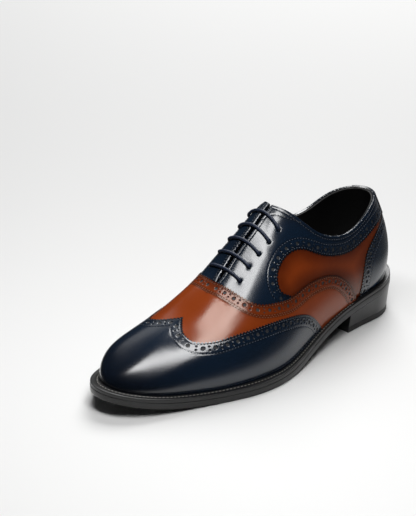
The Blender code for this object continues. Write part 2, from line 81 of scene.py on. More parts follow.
# Upper
UPPER_BACK = 4.5
UPPER_FRONT = 288.7
TOE_SIDE_ROUND = 60.5
ANKLE_HALF = 13.5
ANKLE = (60.0, 118.0)
ANKLE_REACH = 0.35
THROAT = 183.0
SLIT_HALF = 1.6
SLIT_ROUND = 6.0
SLIT_BACK = 100.0
TOPLINE_END = 126.0
LOWEST_EDGE = 0.3
SHOULDER_EDGE = 0.58
CORNER_SOFT = 0.006
STRIP_EDGE = 11.0
STRIP_LOW = 0.463

# Layers of leather: outer and inner face, counted out from the last
LINING = (-2.5, -3.6)
QUARTER = (-0.9, -2.3)
FACING = (-0.1, -0.85)
COUNTER = (-0.1, -0.85)
VAMP = (0.6, -0.05)
WING = (1.25, 0.65)
STRIP = (0.6, -0.05)
RIM_DEPTH = -2.45
RIM_WIDTH = (3.5, 6.0)
TUCK = 13.0
TUCK_BACK = 1.8
VAMP_RIDGE_TUCK = 232.0
FACING_RIDGE_TUCK = 197.0
FACING_BACK = 6.5
WINDOW_END_CLEAR = 0.5
LINING_BELOW_RIM = 0.5
LINING_FROM_THROAT = 1.0

# Gimped edges, punched rows and stitches
TOOTH = 2.8
TOOTH_DEEP = 1.2
TOOTH_POINTS = 6
PUNCH_PITCH = 8.8
PUNCH_ROW = 5.2
PUNCH_LARGE = 1.45
PUNCH_SMALL = 0.68
PUNCH_APART = 1.5
PUNCH_ROOM = 0.9
WING_PUNCH_ENDS = (9.0, 7.0)
VAMP_PUNCH_ENDS = (4.4, 5.0)
COUNTER_PUNCH_ENDS = (4.4, 5.0)
WINDOW_PUNCH_ENDS = (6.0, 12.0)
EDGE_DROP = 0.1
EDGE_SOFT = 0.4
STITCH_DIP = 0.16
ROW_SHADE = 0.75
CUT_RIM = 0.5
HOLE_BACK = (0.12, -0.02)
HOLE_DROP = 0.16
HOLE_SOFT = 0.45
STITCH_DIP_WIDTH = 0.5
ROLL = 1.1
OUTER_ROW = 1.9
INNER_ROW = 9.3
SECOND_ROW = 10.7
COLLAR_ROW = 3.0
SLIT_ROW = 1.4
THREAD_PITCH = 2.5
THREAD_SIZE = (1.55, 0.6, 0.5)
THREAD_RAISED = 0.12
SLIT_THREAD_SUNK = 0.05
WINDOW_ROW_ENDS = (2.0, 14.0)
TACK = (178.6, 179.3)
TACK_HALF = 3.6
TACK_RAISED = 0.15
WELT_THREAD_PITCH = 3.0
WELT_THREAD_SIZE = (1.9, 0.95, 0.8)
WELT_THREAD_RAISED = 0.3

# Distances from an edge at which a sheet has rows of points, beside cut edges and beside rolled ones
BAND_ROWS = (0.95, 1.2, 1.5, 1.9, 2.3, 2.7, 3.2, 3.8, 4.5, 5.2, 5.9, 6.6, 7.2, 7.8, 8.4, 8.8, 9.3, 9.8,
             10.2, 10.7, 11.2, 11.9)
STRIP_ROWS = BAND_ROWS[:8]
ROLL_ROWS = (0.06, 0.16, 0.3, 0.5, 0.75, 1.0, 1.3, 1.7, 2.1, 2.6, 3.0, 3.4, 3.9, 4.5, 5.3, 6.2)

# Lacing and tongue
LACE_RADIUS = 1.3
EYELET_RADIUS = 1.75
EYELET_FROM_SLIT = {1: 17.6, -1: 16.5}
EYELET_LOWEST = 172.4
EYELET_PITCH = 10.9
EYELET_ROWS = 5
EYELET_DIMPLE = 0.2
EYELET_DIMPLE_WIDTH = 3.4
PASSING = 3.3
PASSING_SPAN = 0.3
LACE_OVER = FACING[0] + LACE_RADIUS + 0.1
LACE_UNDER = LINING[1] - LACE_RADIUS - 0.3
LACE_BEND = 2.2
LACE_END = 0.35
BAR_POINTS = 14
NEARLY_STRAIGHT = 0.9
BRAID_DEEP = 0.10
BRAID_LENGTH = 3.4
BRAID_STRANDS = 4
CORD_STEP = 0.4
CORD_SIDES = 20
TONGUE_TOP = 119.0
TONGUE_FRONT = 191.0
TONGUE_THICK = 1.8
TONGUE_SEAT = -4.1
TONGUE_UNDER_LACE = -7.6
TONGUE_DIP = (176.0, 186.0)
TONGUE_HALF_TOP = 27.0
TONGUE_HALF_FRONT = 19.0

# Flat picture in which a side of a sheet is cut into triangles
AROUND = 380.0
UPWARD = 70.0
BOW = 0.01
FLAT_MERGE = 1e-4
FLAT_EXACT = 1e-5

# How finely lines and sheets are drawn
NUDGE = 1e-4
HALVINGS = 30
LINE_POINTS = 700
SEAM_POINTS = 200
TUCK_POINTS = 200
NEAR_POINTS = 300
LINING_POINTS = 220
QUARTER_POINTS = 90
TONGUE_POINTS = 60
STRIP_POINTS = 60
END_POINTS = 20
FACING_END_POINTS = 12
TACK_POINTS = 9
WELT_POINTS = 900
RUN_STEP = 1.6
BACK_STEP = 1.2
ROW_STEP = 0.85
STITCH_STEP = 0.7
FINE_STEP = 0.2
COARSE_STEP = 0.5
FILL = 2.0
FILL_ROWS = 0.8
ENDS_CLEAR = 0.002
BAND_CLEAR = 0.6
EDGE_CLEAR = 0.25
HOLE_CLEAR = 0.15
HOLE_SIDES = 16
EYELET_SIDES = 20
HOLE_RINGS = (0.0, 0.2, 0.5)
SAME_POINT = 0.005
GRID_MERGE = 2000
CORNER_LEVELS = 5
BEND_POINTS = 7
SOLE_STEPS = 181
HEEL_STEPS = 70
FAR = 1e3
FAR_FROM_SEAM = 40.0
BLOCK = 1500
SHARP_ANGLE = 38.0


def spline(knots, values):
    """Natural cubic through the knots, as a function."""
    step = np.diff(knots)
    slope = np.diff(values) / step
    last = len(knots) - 1
    matrix = np.eye(last + 1)
    right = np.zeros(last + 1)
    for i in range(1, last):
        matrix[i, i - 1:i + 2] = step[i - 1], 2 * (step[i - 1] + step[i]), step[i]
        right[i] = 6 * (slope[i] - slope[i - 1])
    bend = np.linalg.solve(matrix, right)

    def value(x):
        x = np.asarray(x, float)
        i = np.clip(np.searchsorted(knots, x) - 1, 0, last - 1)
        h = step[i]
        after = knots[i + 1] - x
        before = x - knots[i]
        curve = (bend[i] * after**3 + bend[i + 1] * before**3) / (6 * h)
        first = values[i] / h - bend[i] * h / 6
        second = values[i + 1] / h - bend[i + 1] * h / 6
        return curve + (first * after + second * before)

    return value


def table(columns, rows):
    """Smooth functions of the first column, one for each further column."""
    data = np.array(rows, float).T
    return {name: spline(data[0], data[i]) for i, name in enumerate(columns.split()) if i}


# Sole outline before its ends are rounded: half-widths, middle line, ledges, and how far in the upper sits
PLAN = table("x outer inner middle ledge_o ledge_i seat", [
    (0, 35.0, 34.0, 0.0, 3.0, 3.0, 4.5),
    (45, 36.0, 34.0, 0.0, 3.0, 3.0, 3.3),
    (85, 39.9, 29.5, 0.0, 3.6, 3.6, 3.6),
    (120, 48.2, 26.0, 0.0, 5.4, 5.4, 5.4),
    (150, 57.8, 29.0, 0.0, 6.8, 6.8, 6.8),
    (180, 62.4, 38.0, -0.5, 8.6, 8.6, 8.6),
    (205, 58.9, 43.3, -1.1, 8.8, 8.6, 8.8),
    (235, 49.6, 44.6, -1.7, 7.5, 6.4, 8.3),
    (265, 45.2, 43.4, -2.4, 6.3, 1.0, 8.0),
    (300, 43.0, 41.0, -3.5, 4.5, -3.0, 11.3),
])

# Sections of the last: where the top lies and how each side swells, rises and reaches in to it
LAST = table("x lean ridge top_z out_o out_i rise_o rise_i reach_o reach_i slope", [
    (0, 20, 0.0, 132.0, 10.0, 10.0, 0.42, 0.42, 0.90, 0.90, 84),
    (30, 14, 0.0, 133.0, 9.5, 9.0, 0.43, 0.43, 0.90, 0.90, 80),
    (60, 12, -0.5, 134.0, 6.5, 7.0, 0.45, 0.45, 0.90, 0.90, 74),
    (85, 8, -1.5, 133.0, 3.5, 6.0, 0.45, 0.46, 0.80, 0.80, 55),
    (105, 3, -3.0, 125.0, 2.0, 9.0, 0.44, 0.56, 0.64, 0.84, 25),
    (120, 0, -4.8, 117.9, 1.0, 12.2, 0.42, 0.64, 0.55, 1.35, 8),
    (140, 0, -3.4, 103.8, 0.5, 12.4, 0.42, 0.69, 0.52, 1.45, 2),
    (160, 0, -3.2, 87.8, 0.5, 9.5, 0.46, 0.70, 0.54, 1.36, 0),
    (180, 0, 0.0, 72.8, 0.5, 5.3, 0.52, 0.72, 0.56, 1.12, 0),
    (200, 0, 1.2, 60.7, 0.5, 2.9, 0.57, 0.72, 0.58, 1.00, 0),
    (218, 0, 0.0, 50.8, 0.5, 2.3, 0.60, 0.71, 0.65, 0.99, 0),
    (240, 0, -1.3, 44.3, 0.5, 0.5, 0.60, 0.68, 0.62, 1.01, 0),
    (265, 0, -2.5, 39.4, 0.2, 0.2, 0.58, 0.61, 0.60, 1.20, 0),
    (300, 0, -3.5, 37.0, 0.0, 0.0, 0.552, 0.552, 0.552, 0.552, 0),
])

# Height of the collar above the floor
TOPLINE = table("x z", [
    (0, 103.0), (15, 102.0), (33, 98.5), (46, 93.2), (59, 88.3), (71, 86.8), (84, 88.8), (98, 96.2),
    (107, 105.2), (113, 112.0), (118, 116.0), (126, 119.0),
])

# Panel edges: the station at which each height is reached
WING_EDGE = table("v x", [
    (0.00, 106.0), (0.10, 114.5), (0.20, 127.5), (0.30, 149.0), (0.40, 177.5), (0.50, 206.0),
    (0.57, 217.5), (0.65, 225.5), (0.74, 227.7), (0.85, 226.0), (0.94, 221.0), (1.00, 216.5),
])
VAMP_EDGE = table("v x", [
    (0.00, 60.5), (0.10, 66.5), (0.20, 77.0), (0.27, 90.0), (0.32, 110.0), (0.36, 133.0),
    (0.42, 151.0), (0.50, 165.5), (0.60, 174.5), (0.75, 179.8), (1.00, 183.0),
])

# Upper edge of the heel counter, counted along the edge from the back seam to the sole
COUNTER_EDGE = table("step x v", [
    (0, UPPER_BACK, 0.478), (1, 13.0, 0.468), (2, 22.0, 0.450), (3, 31.0, 0.410), (4, 40.0, 0.350),
    (5, 47.0, 0.285), (6, 51.0, 0.210), (7, 53.2, 0.130), (8, 54.8, 0.060), (9, 56.5, 0.0),
])
COUNTER_STEPS = 9

# Lower edge of facing and collar band around the quarter, from the back to where it turns in under the vamp
WINDOW_EDGE = table("step x v", [
    (0, FACING_BACK, 0.494), (1, 22.0, 0.467), (2, 31.0, 0.448), (3, 42.0, 0.405), (4, 56.0, 0.364),
    (5, 71.0, 0.350), (6, 88.0, 0.384), (7, 101.0, 0.444), (8, 112.0, 0.510), (9, 122.0, 0.556),
    (10, 132.0, 0.584), (11, 140.0, 0.582), (12, 145.0, 0.556), (13, 147.4, 0.505), (14, 146.2, 0.450),
    (15, 141.5, 0.403), (16, 136.0, 0.352),
])
WINDOW_STEPS = 16

# Curved seam below the top of the facing, from the slit to the collar
FACING_SEAM = table("step x v", [
    (0, 133.0, 0.955), (1, 127.0, 0.906), (2, 121.3, 0.821), (3, 115.9, 0.757), (4, 107.4, 0.691),
])
FACING_SEAM_STEPS = 4
FACING_SEAM_ROWS = (-1.3, -0.7, -0.25, 0.25, 0.7, 1.3)

# Hidden top of the quarter under the collar band
QUARTER_TOP = table("x v", [
    (4, 0.60), (30, 0.56), (56, 0.47), (71, 0.455), (88, 0.49), (101, 0.55), (112, 0.61), (122, 0.65),
    (132, 0.67), (150, 0.65), (172, 0.50),
])
QUARTER_FRONT = 172.0


def smooth(x, start, end):
    """0 before start, 1 after end, with no corner between."""
    t = np.clip((x - start) / (end - start), 0, 1)
    return t * t * (3 - 2 * t)


def round_heel(x, back):
    """0 at the back of the heel, 1 where its sides run straight."""
    return np.sqrt(np.clip(1 - np.clip(1 - (x - back) / HEEL_ROUND, 0, 1) ** 2, 0, 1))


def round_toe(x, front, length):
    """0 at the tip of the toe, 1 where its sides run straight."""
    return np.sqrt(np.clip(1 - np.clip(1 - (front - x) / length, 0, 1) ** 2, 0, 1))


def sole_bottom(x):
    """Height of the outsole's underside: heel seat, arch, flat tread and toe spring."""
    x = np.asarray(x, float)
    fall = (HEEL_BREAST_HEIGHT - HEEL_BACK_HEIGHT) / HEEL_LENGTH
    arch = TREAD_BACK - HEEL_LENGTH
    t = np.clip((x - HEEL_LENGTH) / arch, 0, 1)
    seat = HEEL_BACK_HEIGHT + fall * x
    waist = HEEL_BREAST_HEIGHT * (2 * t**3 - 3 * t**2 + 1) + fall * arch * (t**3 - 2 * t**2 + t)
    spring = TOE_SPRING * np.clip((x - TREAD_FRONT) / (LENGTH - TREAD_FRONT), 0, 1) ** 2
    return np.where(x < HEEL_LENGTH, seat, waist) + spring


def between(u, back, front):
    """Station for u from 0 to 1, close together at both ends, and mirrored beyond them."""
    return back + (front - back) * (1 - np.cos(np.pi * np.asarray(u, float))) / 2


def turn_of(x, back=UPPER_BACK, front=UPPER_FRONT):
    """The u of a station."""
    return np.arccos(np.clip(1 - 2 * (np.asarray(x, float) - back) / (front - back), -1, 1)) / np.pi


def station(u):
    """The station of a u of the upper."""
    return between(u, UPPER_BACK, UPPER_FRONT)


def sole_outline(u, side):
    """Plan point of the sole's edge; past an end it goes on along the other side."""
    x = between(u, 0, LENGTH)
    side = np.where((u < 0) | (u > 1), -side, side)
    half = np.where(side > 0, PLAN["outer"](x), PLAN["inner"](x))
    y = PLAN["middle"](x) + side * half * round_heel(x, 0) * round_toe(x, LENGTH, TOE_ROUND)
    return np.stack([x, y], -1)


def plan(u, side, inset):
    """Sole outline moved in by inset along its own normal."""
    along = sole_outline(u + NUDGE, side) - sole_outline(u - NUDGE, side)
    along /= np.linalg.norm(along, axis=-1, keepdims=True)
    inward = side * np.stack([along[..., 1], -along[..., 0]], -1)
    return sole_outline(u, side) + inward * np.asarray(inset)[..., None]


def last_point(u, v, side):
    """Point of the lasted surface."""
    u, v, side = np.broadcast_arrays(np.asarray(u, float), np.asarray(v, float), np.asarray(side))
    x = station(u)
    side = np.where((u < 0) | (u > 1), -side, side)
    outer = side > 0
    heel = round_heel(x, UPPER_BACK)
    toe = round_toe(x, UPPER_FRONT, TOE_ROUND)

    def column(name):
        outside = LAST[name + "_o"](x)
        inside = LAST[name + "_i"](x)
        return (outside + inside) / 2 + side * heel * (outside - inside) / 2

    inside = PLAN["inner"](x) - PLAN["ledge_i"](x)
    half = np.where(outer, PLAN["outer"](x) - PLAN["ledge_o"](x), inside) * heel * toe
    low = sole_bottom(x) + OUTSOLE + GAP + WELT + GAP
    tip = round_toe(x, UPPER_FRONT, TOE_SIDE_ROUND)
    rise = (LAST["top_z"](x) - low) * tip
    middle = PLAN["middle"](x)
    ridge = middle + (LAST["ridge"](x) - middle) * tip
    ankle = ANKLE_HALF * (1 - smooth(x, *ANKLE))
    foot = np.stack([x, middle + side * half, low], -1)
    top = np.stack([x + LAST["lean"](x) * tip, ridge + side * ankle * heel, low + rise], -1)
    out = np.stack([-np.sqrt(1 - heel**2), side * heel, 0 * heel], -1)
    up = np.array([0.0, 0.0, 1.0])
    slope = np.radians(LAST["slope"](x))
    steep = np.clip(slope * 2 / np.pi, 0, 1)
    span = np.abs(foot[..., 1] - top[..., 1])
    reach = column("reach") * (span * (1 - steep) + ANKLE_REACH * rise * steep)
    low_handle = foot + out * (column("out") * toe)[..., None] + up * (column("rise") * rise)[..., None]
    high_handle = top + out * (np.cos(slope) * reach)[..., None] - up * (np.sin(slope) * reach)[..., None]
    v = v[..., None]
    w = 1 - v
    return w**3 * foot + 3 * w**2 * v * low_handle + 3 * w * v**2 * high_handle + v**3 * top


def nudged(u, v, side, top=np.inf):
    """How far a point moves when u, and then v, is nudged both ways, v not beyond the top."""
    v = np.asarray(v, float)
    along = last_point(u + NUDGE, v, side) - last_point(u - NUDGE, v, side)
    upward = last_point(u, np.minimum(v + NUDGE, top), side) - last_point(u, v - NUDGE, side)
    return along, upward


def normal(u, v, side):
    """Outward normal of the lasted surface."""
    along, upward = nudged(u, v, side, 1)
    out = np.cross(upward, along) * np.asarray(side)[..., None]
    size = np.linalg.norm(out, axis=-1, keepdims=True)
    forward = np.array([1.0, 0.0, 0.0])
    tiny = 1e-9
    return np.where(size > tiny, out / np.maximum(size, tiny), forward)


def facing_out(u, v, side):
    """Outward normal that both sides share on the ridge."""
    u, v, side = np.broadcast_arrays(np.asarray(u, float), np.asarray(v, float), side)
    out = normal(u, v, side)
    shared = out + normal(u, v, -side)
    shared /= np.linalg.norm(shared, axis=-1, keepdims=True)
    return np.where((v >= 1)[..., None], shared, out)


def skin(u, v, side, offset):
    """Point of the lasted surface moved out by offset."""
    u, v, side, offset = np.broadcast_arrays(np.asarray(u, float), np.asarray(v, float), side, offset)
    return last_point(u, v, side) + facing_out(u, v, side) * offset[..., None]


def height_where(test, u, lowest=LOWEST_EDGE):
    """Lowest v at which test(v) turns true, for each u."""
    low = np.full(np.shape(u), lowest)
    high = np.ones(np.shape(u))
    for _ in range(HALVINGS):
        middle = (low + high) / 2
        reached = test(middle)
        high = np.where(reached, middle, high)
        low = np.where(reached, low, middle)
    return high


def beside_slit(u, distance, side):
    """Height at which the surface lies this far to the side of the ridge."""
    ridge = LAST["ridge"](station(u))

    def near_enough(v):
        return np.abs(last_point(u, v, side)[..., 1] - ridge) <= distance

    return height_where(near_enough, u, SHOULDER_EDGE)


def top_edge(u, side):
    """Height at which the upper ends: collar, slit, or 1 where it is closed, with a soft corner between."""
    u = np.asarray(u, float)
    x = station(u)

    def over_collar(v):
        point = last_point(u, v, side)
        return point[..., 2] > TOPLINE["z"](np.clip(point[..., 0], 0, TOPLINE_END))

    collar = np.where(x < TOPLINE_END, height_where(over_collar, u), 1)
    slit = SLIT_HALF * np.sqrt(np.clip((THROAT - x) / SLIT_ROUND, 0, 1))
    open_to = np.where((x > SLIT_BACK) & (x < THROAT), beside_slit(u, slit, side), 1)
    low = np.minimum(collar, open_to)
    apart = np.abs(collar - open_to)
    return low - CORNER_SOFT * np.log1p(np.exp(-apart / CORNER_SOFT))


def frame_middle():
    """Sideways middle of the sole's box."""
    u = np.linspace(0, 1, 400)
    return (sole_outline(u, 1)[:, 1].max() + sole_outline(u, -1)[:, 1].min()) / 2


SHIFT = np.array([LENGTH / 2, frame_middle(), 0.0])


def placed(points):
    """Millimetres along the sole to metres in the shoe's frame."""
    return (np.asarray(points, float) - SHIFT) * MM


def unit(vectors):
    return vectors / np.maximum(np.linalg.norm(vectors, axis=-1, keepdims=True), 1e-12)


def lengths_along(path):
    """Distance of each point of a path from its start, along the path."""
    return np.concatenate([[0.0], np.cumsum(np.linalg.norm(np.diff(path, axis=0), axis=1))])


def walked(u, v, side, step):
    """Where a short step over the surface leads, as u and v."""
    along, upward = (move / (2 * NUDGE) for move in nudged(u, v, side))
    a = (along * along).sum(-1)
    b = (along * upward).sum(-1)
    c = (upward * upward).sum(-1)
    p = (along * step).sum(-1)
    q = (upward * step).sum(-1)
    size = a * c - b * b
    return u + (c * p - b * q) / size, v + (a * q - b * p) / size


class Line:
    """A line over one side of the upper, measured in millimetres, and which way the piece inside it lies."""

    WALK = 5
    LOOK = 0.5

    def __init__(self, u, v, side, inward):
        self.u = u
        self.v = v
        self.side = side
        self.inward = inward * side
        self.along = lengths_along(skin(u, v, side, 0.0))
        self.length = self.along[-1]

    def at(self, s):
        """The u and v at s along the line."""
        return np.interp(s, self.along, self.u), np.interp(s, self.along, self.v)

    def points(self, count):
        """So many points of the last, spread evenly along the line."""
        return last_point(*self.at(np.linspace(0, self.length, count)), self.side)

    def inside(self, s, d):
        """Points at s along the line and d in from it, over the surface, as u and v."""
        s, d = np.broadcast_arrays(np.asarray(s, float), np.asarray(d, float))
        u, v = self.at(s)
        ahead = last_point(*self.at(np.minimum(s + self.LOOK, self.length)), self.side)
        behind = last_point(*self.at(np.maximum(s - self.LOOK, 0)), self.side)
        across = unit(np.cross(normal(u, v, self.side), ahead - behind) * self.inward)
        for _ in range(self.WALK):
            u, v = walked(u, v, self.side, across * (d / self.WALK)[..., None])
            out = normal(u, v, self.side)
            across = unit(across - out * (across * out).sum(-1, keepdims=True))
        return u, v


def line_by_height(edge, side):
    """Edge given by its station at each height, from the ridge down to the sole."""
    v = np.linspace(1, 0, LINE_POINTS)
    return Line(turn_of(edge["x"](v)), v, side, -1)


def line_by_steps(edge, steps, side, inward, points=LINE_POINTS):
    """Edge given by its station and height at each of its steps."""
    step = np.linspace(0, steps, points)
    return Line(turn_of(edge["x"](step)), np.maximum(edge["v"](step), 0), side, inward)


def wing_line(side):
    return line_by_height(WING_EDGE, side)


def vamp_line(side):
    return line_by_height(VAMP_EDGE, side)


def counter_line(side):
    return line_by_steps(COUNTER_EDGE, COUNTER_STEPS, side, 1)


def window_line(side):
    return line_by_steps(WINDOW_EDGE, WINDOW_STEPS, side, -1)


def seam_line(side):
    return line_by_steps(FACING_SEAM, FACING_SEAM_STEPS, side, 1, SEAM_POINTS)


def rim_line(side, back, front=THROAT):
    """Collar and slit edge, from the back to the throat."""
    u = np.linspace(turn_of(back), turn_of(front), LINE_POINTS)
    return Line(u, top_edge(u, side), side, 1)


def sole_run(start, end):
    """Points along the sole between two stations, as u and v."""
    count = max(2, int(abs(end - start) / RUN_STEP))
    u = np.linspace(turn_of(start), turn_of(end), count)
    return u, np.zeros(count)


def ridge_run(start, end):
    """Points along the instep ridge between two stations, as u and v."""
    u, v = sole_run(start, end)
    return u, v + 1


def back_run(start, end):
    """Points up the back seam between two heights, as u and v."""
    count = max(2, int(abs(end - start) * UPWARD / BACK_STEP))
    return np.zeros(count), np.linspace(start, end, count)


def upright(x, start, end, count):
    """Points at one station between two heights, as u and v."""
    return np.full(count, turn_of(x)), np.linspace(start, end, count)


def trimmed(u, v):
    """The points that lie between sole and ridge."""
    keep = (v > ENDS_CLEAR) & (v < 1 - ENDS_CLEAR)
    return u[keep], v[keep]


def gimped(line):
    """A line's points cut into small round teeth, with its own two ends."""
    teeth = round(line.length / TOOTH)
    t = np.arange(1, teeth * TOOTH_POINTS) / TOOTH_POINTS
    u, v = trimmed(*line.inside(t / teeth * line.length, TOOTH_DEEP * (1 - np.abs(np.sin(np.pi * t)))))
    return np.concatenate([line.u[:1], u, line.u[-1:]]), np.concatenate([line.v[:1], v, line.v[-1:]])


def backwards(run):
    """The same points in the other order."""
    return run[0][::-1], run[1][::-1]


def back_bow(y):
    """How far the back seam bows out in the flat picture."""
    return AROUND * BOW * y / UPWARD * (1 - y / UPWARD)


def spread(u, v):
    """Place of a point in the flat picture, whose straight sides bow out a little."""
    bow = BOW * np.sin(np.pi * u)
    y = UPWARD * (v + (2 * v - 1) * bow)
    return np.stack([AROUND * u - back_bow(y), y], -1)


def unspread(flat):
    """The u and v of places in the flat picture."""
    x, y = flat.T
    u = (x + back_bow(y)) / AROUND
    bow = BOW * np.sin(np.pi * u)
    return u, (y / UPWARD + bow) / (1 + 2 * bow)


def joined(*runs):
    """One closed outline from runs of points, without repeats."""
    u = np.concatenate([run[0] for run in runs])
    v = np.concatenate([run[1] for run in runs])
    flat = spread(u, v)
    keep = np.linalg.norm(flat - np.roll(flat, 1, 0), axis=1) > FLAT_MERGE
    return u[keep], v[keep]


def filled_in(outline):
    """A closed outline with three more points between each two of its own."""
    u, v = (np.append(part, part[0]) for part in outline)
    place = np.arange(len(u))
    t = np.arange(0, len(u) - 1, 0.25)
    return np.interp(t, place, u), np.interp(t, place, v)


def within(points, outline):
    """Which flat points lie inside a flat outline."""
    start_x, start_y = outline.T
    end_x, end_y = np.roll(outline, -1, 0).T
    rise = np.where(end_y == start_y, 1.0, end_y - start_y)
    found = []
    for block in np.array_split(points, max(1, len(points) // BLOCK)):
        x = block[:, :1]
        y = block[:, 1:]
        crosses = (start_y > y) != (end_y > y)
        right = x < start_x + (y - start_y) * (end_x - start_x) / rise
        found.append((crosses & right).sum(1) % 2 == 1)
    return np.concatenate(found)


def distance_to(points):
    """Function giving how far each position is from the nearest of these points, and which one that is."""
    tree = KDTree(len(points))
    for i, point in enumerate(points):
        tree.insert(point, i)
    tree.balance()

    def measure(positions):
        found = [tree.find(p) for p in positions]
        return np.array([f[2] for f in found]), np.array([f[1] for f in found])

    return measure


def stitch_dips(d, rows):
    """Depth to which the thread pulls the leather in along its rows."""
    dips = [STITCH_DIP * np.exp(-((d - row) / STITCH_DIP_WIDTH) ** 2) for row in rows]
    return sum(dips, np.zeros_like(d))


def cut_edge(d):
    """Fall of a cut edge, by the distance from it."""
    return -EDGE_DROP * (1 - np.clip(d / EDGE_SOFT, 0, 1)) ** 2


def rolled_edge(d):
    """Fall of an edge that is folded round, by the distance from it."""
    return -ROLL + np.sqrt(ROLL**2 - (ROLL - np.clip(d, 0, ROLL)) ** 2)


def no_edge(d):
    """Level leather, as beside a seam that has no edge."""
    return np.zeros_like(d)


class Cut:
    """One side of a sheet: its outline, its holes and how its two faces run over the last."""

    def __init__(self, side, outline, layer):
        self.side = side
        self.outline = outline
        self.outer, self.inner = layer
        self.rings = []
        self.punched = []
        self.spots = []
        self.bands = []
        self.centres = np.zeros((0, 3))
        self.radii = np.zeros(0)
        self.cut_runs = []
        self.shaping = []
        self.backing = []

    def add_band(self, line, rows, fall, sewn, twin=None):
        """Rows of points beside a line, along which the outer face falls and its stitch rows pull it in."""
        count = int(line.length / ROW_STEP)
        stagger = 0.5 * (np.arange(len(rows))[:, None] % 2 + 0.5)
        s = (np.arange(count)[None, :] + stagger) / count * line.length
        d = np.broadcast_to(np.array(rows)[:, None], s.shape)
        self.spots.append(trimmed(*line.inside(s.ravel(), d.ravel())))
        fine = int(line.length / FINE_STEP)
        near = line.points(fine)
        if twin:
            near = np.concatenate([near, twin.points(fine)])
        measure = distance_to(near)
        self.bands.append((measure, max(rows), sewn))

        def lowered(u, v, base):
            away = measure(base)[0]
            return fall(away) - stitch_dips(away, sewn)

        self.shaping.append(lowered)
        return measure

    def gimp(self, line, sewn, twin=None):
        """Edge cut into teeth along a line, with a rim of painted shade and stitch rows beside it."""
        self.add_band(line, BAND_ROWS, cut_edge, sewn, twin)
        self.cut_runs.append(distance_to(last_point(*gimped(line), self.side)))

    def roll(self, rim):
        """Edge folded round along a rim, with its inner face brought down to the lining."""
        measure = self.add_band(rim, ROLL_ROWS, rolled_edge, (COLLAR_ROW,))
        deep = RIM_DEPTH - self.inner
        self.backing.append(lambda u, v, base: deep * (1 - smooth(measure(base)[0], *RIM_WIDTH)))

    def paint_shade_beside(self, line):
        """Painted shade beside a line of another piece that lies over this one."""
        self.bands.append((distance_to(line.points(int(line.length / COARSE_STEP))), -1.0, ()))

    def add_holes(self, u, v, radii, points=HOLE_SIDES):
        """Round holes with a softened rim."""
        along, _ = nudged(u, v, self.side)
        first = unit(along)
        second = np.cross(normal(u, v, self.side), first)
        angle = np.linspace(0, 2 * np.pi, points, endpoint=False)
        angle = angle[None, :, None]
        turn = np.cos(angle) * first[:, None] + np.sin(angle) * second[:, None]
        for grow in HOLE_RINGS:
            step = turn * (radii + grow)[:, None, None]
            ring_u, ring_v = walked(u[:, None], v[:, None], self.side, step)
            if grow:
                self.spots.append((ring_u.ravel(), ring_v.ravel()))
            else:
                self.rings += list(zip(ring_u, ring_v))
        self.centres = np.concatenate([self.centres, last_point(u, v, self.side)])
        self.radii = np.concatenate([self.radii, radii])

    def punch(self, u, v, radii):
        """Holes that are closed from behind."""
        start = len(self.rings)
        self.add_holes(u, v, radii)
        self.punched += self.rings[start:]

    def hole_gap(self, base):
        """Distance of each position from the rim of the nearest hole."""
        gap = np.full(len(base), FAR)
        for centre, radius in zip(self.centres, self.radii):
            gap = np.minimum(gap, np.linalg.norm(base - centre, axis=1) - radius)
        return gap

    def fill(self, flat_outline):
        """Points spread evenly over the rest of the sheet."""
        low = flat_outline.min(0)
        high = flat_outline.max(0)
        a, b = np.meshgrid(np.arange(low[0], high[0], FILL), np.arange(low[1], high[1], FILL * FILL_ROWS))
        a[1::2] += FILL / 2
        flat = np.stack([a.ravel(), b.ravel()], -1)
        return unspread(flat[within(flat, flat_outline)])

    def points_inside(self):
        """Loose points of the sheet, clear of its outline and holes."""
        flat_outline = spread(*self.outline)
        u, v = self.fill(flat_outline)
        base = last_point(u, v, self.side)
        for measure, reach, _ in self.bands:
            keep = measure(base)[0] > reach + BAND_CLEAR
            u, v, base = u[keep], v[keep], base[keep]
        u = np.concatenate([u] + [spot[0] for spot in self.spots])
        v = np.concatenate([v] + [spot[1] for spot in self.spots])
        base = last_point(u, v, self.side)
        edge = distance_to(last_point(*filled_in(self.outline), self.side))
        keep = within(spread(u, v), flat_outline)
        keep &= (edge(base)[0] > EDGE_CLEAR) & (self.hole_gap(base) > HOLE_CLEAR)
        return u[keep], v[keep]

    def triangles(self):
        """Points of the sheet as u and v, and the triangles between them."""
        loops = [self.outline] + self.rings
        inner_u, inner_v = self.points_inside()
        u = np.concatenate([loop[0] for loop in loops] + [inner_u])
        v = np.concatenate([loop[1] for loop in loops] + [inner_v])
        ring = np.full(len(u), -1)
        edges = []
        start = 0
        for i, loop in enumerate(loops):
            count = len(loop[0])
            ring[start:start + count] = i
            edges += [(start + j, start + (j + 1) % count) for j in range(count)]
            start += count
        flat = spread(u, v)
        count = len(self.outline[0])
        x, y = flat[:count].T
        face = list(range(count))
        if (x * np.roll(y, -1) - np.roll(x, -1) * y).sum() < 0:
            face = face[::-1]
        inside_only = 1
        spots, _, tris, origin, _, _ = geometry.delaunay_2d_cdt(
            [Vector(p) for p in flat], edges, [face], inside_only, FLAT_EXACT)
        source = np.array([o[0] if o else -1 for o in origin])
        new_u, new_v = unspread(np.array([tuple(p) for p in spots]))
        made_u = np.where(source >= 0, u[source], new_u)
        made_v = np.where(source >= 0, v[source], new_v)
        ring = np.where(source >= 0, ring[source], -1)
        tris = np.array(tris)
        corner = ring[tris]
        in_hole = (corner[:, 0] > 0) & (corner[:, 0] == corner[:, 1]) & (corner[:, 0] == corner[:, 2])
        return made_u, made_v, tris[~in_hole]

